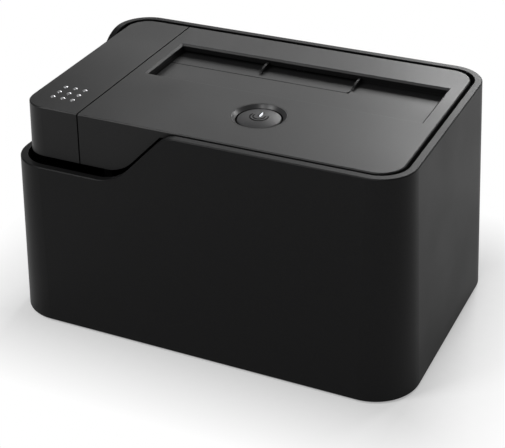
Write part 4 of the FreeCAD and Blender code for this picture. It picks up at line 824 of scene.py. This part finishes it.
class DOCK_OT_sockets(Operator):
    """Finish the rear sockets, the drive connector and the push switch"""

    bl_idname = "dock.sockets"
    bl_label = "Sockets"

    def execute(self, context):
        dress(metal("socket_tin", TIN, roughness=0.3, along=(1, 12, 1)), "usb_shell")
        plated = metal("jack_pin_brass", (0.7, 0.68, 0.62), roughness=0.22, along=(1, 12, 1))
        dress(plated, "power_jack_pin")
        dress(smooth_plastic("tongue_white", (0.6, 0.6, 0.58), roughness=0.4), "usb_tongue")
        black = smooth_plastic("connector_black", (0.012, 0.012, 0.012), roughness=0.4, level=0.4)
        dress(black, "power_jack", "drive_connector", "push_switch")
        dress(metal("contact_gold", GOLD, roughness=0.24, along=(1, 1, 12)), "drive_contacts")
        self.add_tongue_contacts()
        return {"FINISHED"}

    def add_tongue_contacts(self):
        """Four gilt strips, two above and two below the square socket's tongue."""
        low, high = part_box("usb_tongue")
        thick = 0.12 * MM
        half = 0.55 * MM
        pitch = 2.6 * MM
        start, end = low.y + 1 * MM, high.y - 0.8 * MM
        middle = middle_of((low, high))
        mesh = bmesh.new()
        for side in (-0.5, 0.5):
            x = middle.x + side * pitch
            for bottom in (high.z, low.z - thick):
                brick(mesh, (x - half, start, bottom), (x + half, end, bottom + thick))
        gold = metal("strip_gold", GOLD, roughness=0.24, along=(1, 12, 1))
        new_piece("tongue_contacts", mesh, "case", [], [gold])


class DOCK_OT_boards(Operator):
    """Finish the boards with their traces, pads and parts"""

    bl_idname = "dock.boards"
    bl_label = "Boards"

    def execute(self, context):
        look = context.scene.dock_boards
        mask = Finish("solder_mask", look.mask_colour, roughness=0.32)
        edges = mask.cells(1.6 * MM, "DISTANCE_TO_EDGE")
        lines = mask.blend_colours(edges, look.trace_colour, look.mask_colour, start=0.06, end=0.1)
        mask.link(lines, mask.shader.inputs["Base Color"])
        mask.uneven_gloss(size=8 * MM, low=0.28, high=0.36)
        mask.bump(mask.noise(0.3 * MM), depth=0.008 * MM, strength=0.4)
        dress(mask.material, "main_board", "button_board")
        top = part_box("bridge_chip")[0].z
        self.add_traces(look, top)
        self.add_tinning(top)
        self.add_chip()
        self.add_capacitors()
        self.add_ribbon()
        self.finish_small_parts()
        return {"FINISHED"}

    def add_traces(self, look, top):
        """Copper under the mask, from the chip to the connector."""
        chip_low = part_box("bridge_chip")[0]
        plug_low, plug_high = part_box("drive_connector")
        thick = 0.05 * MM
        half = look.trace_width / 2
        pitch = 1.1 * MM
        first_y = chip_low.y + 1.6 * MM
        first_x = plug_high.x - 3 * MM
        chip_end = chip_low.x - 1.2 * MM
        mesh = bmesh.new()
        for number in range(look.trace_count):
            start_y = first_y + pitch * number
            turn_x = first_x - pitch * number
            brick(mesh, (turn_x - half, start_y - half, top), (chip_end, start_y + half, top + thick))
            brick(mesh, (turn_x - half, start_y + half, top), (turn_x + half, plug_low.y, top + thick))
        copper = smooth_plastic("covered_copper", look.trace_colour, roughness=0.3)
        new_piece("board_traces", mesh, "case", [], [copper])

    def add_tinning(self, top):
        """Tinned pads round the screws, and the chip's legs."""
        thick = 0.05 * MM
        inside = 1.95 * MM
        outside = 2.9 * MM
        mesh = bmesh.new()
        for pair in islands("board_screws"):
            profile = [(inside, top), (outside, top), (outside, top + thick), (inside, top + thick)]
            turn(mesh, profile, middle_of(pair), SMALL_ROUND)
        low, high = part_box("bridge_chip")
        legs = 12
        reach = 1.0 * MM
        half = 0.15 * MM
        rise = 0.2 * MM
        for number in range(legs):
            along = low.lerp(high, (number + 1) / (legs + 1))
            for near, far in (((low.x - reach, along.y - half), (low.x, along.y + half)),
                              ((high.x, along.y - half), (high.x + reach, along.y + half)),
                              ((along.x - half, low.y - reach), (along.x + half, low.y)),
                              ((along.x - half, high.y), (along.x + half, high.y + reach))):
                brick(mesh, (*near, top), (*far, top + rise))
        tin = metal("tinned_pad", TIN, roughness=0.35)
        new_piece("board_tinning", mesh, "case", [], [tin])

    def add_chip(self):
        """A moulded package with a dimple at its first leg."""
        low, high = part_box("bridge_chip")
        black = smooth_plastic("epoxy_black", (0.015, 0.015, 0.016), roughness=0.55, level=0.35)
        mesh = brick(bmesh.new(), low, high, lean=0.25 * MM)
        chip = new_piece("controller_chip", mesh, "case", ["bridge_chip"], [black])
        inset = 1.6 * MM
        radius = 0.5 * MM
        floor, clear = high.z - 0.12 * MM, high.z + 0.5 * MM
        profile = [(0.0, floor), (radius, floor), (radius, clear), (0.0, clear)]
        corner = (low.x + inset, high.y - inset)
        cut_away(chip, turn(bmesh.new(), profile, corner, count=32, closed=False))

    def add_capacitors(self):
        """Sleeved cans, crimped near the foot and scored on the lid."""
        blue = (0.02, 0.03, 0.09)
        sleeve = Finish("capacitor_sleeve", blue, roughness=0.35)
        sleeve.mottle(blue, size=2 * MM, amount=0.1)
        sleeve.bump(sleeve.noise(1 * MM), depth=0.01 * MM, strength=0.3)
        lid_metal = metal("can_aluminium", (0.66, 0.66, 0.67), roughness=0.3)
        crimp = 1.3 * MM
        crimp_depth = 0.3 * MM
        sleeve_lap = 0.5 * MM
        lid_inset = 0.6 * MM
        lid_drop = 0.15 * MM
        score_half = 0.12 * MM
        score_depth = 0.3 * MM
        mesh = bmesh.new()
        scores = bmesh.new()
        for low, high in islands("board_capacitors"):
            middle = middle_of((low, high))
            radius = (high.x - low.x) / 2
            lid = high.z - lid_drop
            profile = [(0.0, low.z), (radius, low.z), (radius, low.z + crimp - crimp_depth),
                       (radius - crimp_depth, low.z + crimp), (radius, low.z + crimp + crimp_depth),
                       (radius, high.z), (radius - sleeve_lap, high.z), (radius - lid_inset, lid),
                       (0.0, lid)]
            turn(mesh, profile, middle, SMALL_ROUND, closed=False)
            cross(scores, middle, radius * 0.7, score_half, high.z - score_depth, high.z + score_depth)
        materials = [sleeve.material, lid_metal]
        cans = new_piece("can_capacitors", mesh, "case", ["board_capacitors"],
                         materials)
        cut_away(cans, scores)
        top = max(vertex.co.z for vertex in cans.data.vertices)
        for face in cans.data.polygons:
            if face.center.z > top - 0.4 * MM and abs(face.normal.z) > 0.9:
                face.material_index = materials.index(lid_metal)

    def add_ribbon(self):
        """Round cores moulded side by side."""
        low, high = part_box("button_ribbon")
        cores = 6
        steps = 7
        valley = 0.45
        width = (high.x - low.x) / cores
        bulge = (high.y - low.y) / 2
        middle_y = (low.y + high.y) / 2
        outline = []
        for sense in (1, -1):
            for number in range(cores)[::sense]:
                for step in range(steps):
                    share = step / steps if sense == 1 else 1 - step / steps
                    thick = bulge * (valley + (1 - valley) * math.sin(math.pi * share))
                    outline.append((low.x + width * (number + share), middle_y - sense * thick))
        mesh = prism(bmesh.new(), outline, low.z, high.z)
        vinyl = smooth_plastic("ribbon_grey", (0.35, 0.35, 0.34), roughness=0.45)
        new_piece("ribbon_cores", mesh, "case", ["button_ribbon"], [vinyl], sharp=60)

    def finish_small_parts(self):
        grey = (0.05, 0.05, 0.052)
        ferrite = Finish("ferrite", grey, roughness=0.7, level=0.3)
        ferrite.mottle(grey, size=0.4 * MM, amount=0.3)
        ferrite.bump(ferrite.noise(0.2 * MM, detail=4.0), depth=0.02 * MM, strength=0.8)
        dress(ferrite.material, "power_inductor")
        white = smooth_plastic("header_white", (0.66, 0.65, 0.6), roughness=0.4)
        dress(white, "ribbon_header", "ribbon_socket")
        dress(smooth_plastic("led_clear", (0.75, 0.78, 0.8), roughness=0.2, level=0.6), "status_led")
        dress(smooth_plastic("plunger_black", (0.02, 0.02, 0.02), roughness=0.3), "switch_plunger")


class DOCK_OT_studio(Operator):
    """Set up the floor, the room, the lamps and the camera"""

    bl_idname = "dock.studio"
    bl_label = "Studio"

    def execute(self, context):
        look = context.scene.dock_studio
        context.scene.view_settings.view_transform = "Standard"
        self.make_camera(context, look)
        self.make_room(context, look)
        self.make_floor(look)
        subject = Vector((0, 0, 0.05))
        distance = 1.3
        lamps = (
            ("back_softbox", (-0.07, 0.885, 0.445), (0.35, 0.35), 7.4),
            ("left_back_softbox", (-0.40, 0.80, 0.45), (0.4, 0.35), 0.95),
            ("right_back_softbox", (0.38, 0.79, 0.475), (0.25, 0.25), 3.2),
            ("front_softbox", (-0.44, -0.46, 0.77), (0.3, 0.25), 5.0),
            ("top_softbox", (0.02, -0.46, 0.89), (0.16, 0.12), 2.2),
        )
        for name, direction, size, power in lamps:
            aim = Vector(direction).normalized()
            self.softbox(name, subject + aim * distance, aim, size, power)
        return {"FINISHED"}

    def make_camera(self, context, look):
        camera = placed("camera", bpy.data.cameras.new("camera"))
        camera.data.lens = look.lens
        camera.data.clip_start = 0.01
        turned = Matrix.Rotation(look.camera_turn, 4, "Z")
        tilted = Matrix.Rotation(math.pi / 2 - look.camera_tilt, 4, "X")
        rolled = Matrix.Rotation(look.camera_roll, 4, "Z")
        camera.matrix_world = Matrix.Translation(look.camera_place) @ turned @ tilted @ rolled
        context.scene.camera = camera

    def make_room(self, context, look):
        world = bpy.data.worlds.new("room")
        world.use_nodes = True
        nodes, links = world.node_tree.nodes, world.node_tree.links
        room = nodes["Background"]
        room.inputs["Color"].default_value = (1, 1, 1, 1)
        path = nodes.new("ShaderNodeLightPath")
        seen = nodes.new("ShaderNodeMath")
        seen.operation = "MAXIMUM"
        links.new(path.outputs["Is Camera Ray"], seen.inputs[0])
        links.new(path.outputs["Is Transmission Ray"], seen.inputs[1])
        level = nodes.new("ShaderNodeMapRange")
        level.inputs["To Min"].default_value = look.ambient
        level.inputs["To Max"].default_value = 1.0
        links.new(seen.outputs[0], level.inputs["Value"])
        links.new(level.outputs["Result"], room.inputs["Strength"])
        context.scene.world = world

    def make_floor(self, look):
        """A pale floor that keeps the shadow near the base and is plain white further out."""
        mesh = bmesh.new()
        reach = 6.0
        square = ((-reach, -reach), (reach, -reach), (reach, reach), (-reach, reach))
        mesh.faces.new([mesh.verts.new((x, y, 0)) for x, y in square])
        data = bpy.data.meshes.new("floor")
        mesh.to_mesh(data)
        mesh.free()
        placed("floor", data)
        paper = Finish("floor_white", (0.84, 0.84, 0.84), roughness=0.5, level=0.12)
        paper.mottle((0.86, 0.86, 0.86), size=4 * MM, amount=0.01)
        away = self.distance_from_base(paper)
        path = paper.node("ShaderNodeLightPath")
        gloss_start, gloss_end = 3 * look.white_from, 8 * look.white_from
        fades = ((path.outputs["Is Camera Ray"], look.dark_within, look.white_from),
                 (path.outputs["Is Glossy Ray"], gloss_start, gloss_end))
        whiter = paper.node("ShaderNodeMath", operation="MAXIMUM")
        for number, (seen, start, end) in enumerate(fades):
            share = paper.node("ShaderNodeMath", operation="MULTIPLY")
            paper.link(paper.spread(away, 0, 1, start, end), share.inputs[0])
            paper.link(seen, share.inputs[1])
            paper.link(share.outputs[0], whiter.inputs[number])
        white = paper.node("ShaderNodeEmission")
        mixed = paper.node("ShaderNodeMixShader")
        for number, source in enumerate((whiter, paper.shader, white)):
            paper.link(source.outputs[0], mixed.inputs[number])
        paper.link(mixed.outputs[0], paper.tree.nodes["Material Output"].inputs["Surface"])
        data.materials.append(paper.material)

    def distance_from_base(self, paper):
        """How far a point of the floor is from the edge of the object's box."""
        half = (Vector(CAD_BOX[1]) - Vector(CAD_BOX[0])) / 2
        spot = paper.place
        steps = (("ABSOLUTE", None), ("SUBTRACT", (half.x, half.y, 0)), ("MAXIMUM", (0, 0, 0)))
        for operation, other in steps:
            step = paper.node("ShaderNodeVectorMath", operation=operation)
            paper.link(spot, step.inputs[0])
            if other:
                step.inputs[1].default_value = other
            spot = step.outputs["Vector"]
        away = paper.node("ShaderNodeVectorMath", operation="LENGTH")
        paper.link(spot, away.inputs[0])
        return away.outputs["Value"]

    def softbox(self, name, place, aim, size, power):
        lamp = bpy.data.lights.new(name, "AREA")
        lamp.shape = "RECTANGLE"
        lamp.size, lamp.size_y = size
        lamp.energy = power
        facing = aim.to_track_quat("Z", "Y").to_matrix().to_4x4()
        placed(name, lamp).matrix_world = Matrix.Translation(place) @ facing


OPERATORS = (DOCK_OT_case, DOCK_OT_grip_dots, DOCK_OT_flaps, DOCK_OT_power_button, DOCK_OT_feet,
             DOCK_OT_screws, DOCK_OT_springs, DOCK_OT_mechanism, DOCK_OT_sockets, DOCK_OT_boards,
             DOCK_OT_studio)
SETTINGS = {"dock_case": CaseFinish, "dock_button": ButtonFinish, "dock_boards": BoardFinish,
            "dock_studio": StudioSetup}


class DOCK_PT_sidebar(Panel):
    """Lists the dock's pieces and their settings"""

    bl_idname = "DOCK_PT_sidebar"
    bl_label = "Drive dock"
    bl_space_type = "VIEW_3D"
    bl_region_type = "UI"
    bl_category = "Dock"

    def draw(self, context):
        for operator in OPERATORS:
            self.layout.operator(operator.bl_idname)
        for name, group in SETTINGS.items():
            column = self.layout.column()
            for setting in group.__annotations__:
                column.prop(getattr(context.scene, name), setting)


def register():
    for item in (*SETTINGS.values(), *OPERATORS, DOCK_PT_sidebar):
        bpy.utils.register_class(item)
    for name, group in SETTINGS.items():
        setattr(bpy.types.Scene, name, PointerProperty(type=group))


def unregister():
    for name in SETTINGS:
        delattr(bpy.types.Scene, name)
    for item in (DOCK_PT_sidebar, *OPERATORS, *SETTINGS.values()):
        bpy.utils.unregister_class(item)


def main():
    register()
    for operator in OPERATORS:
        group, action = operator.bl_idname.split(".")
        getattr(getattr(bpy.ops, group), action)()


if __name__ == "__main__":
    main()
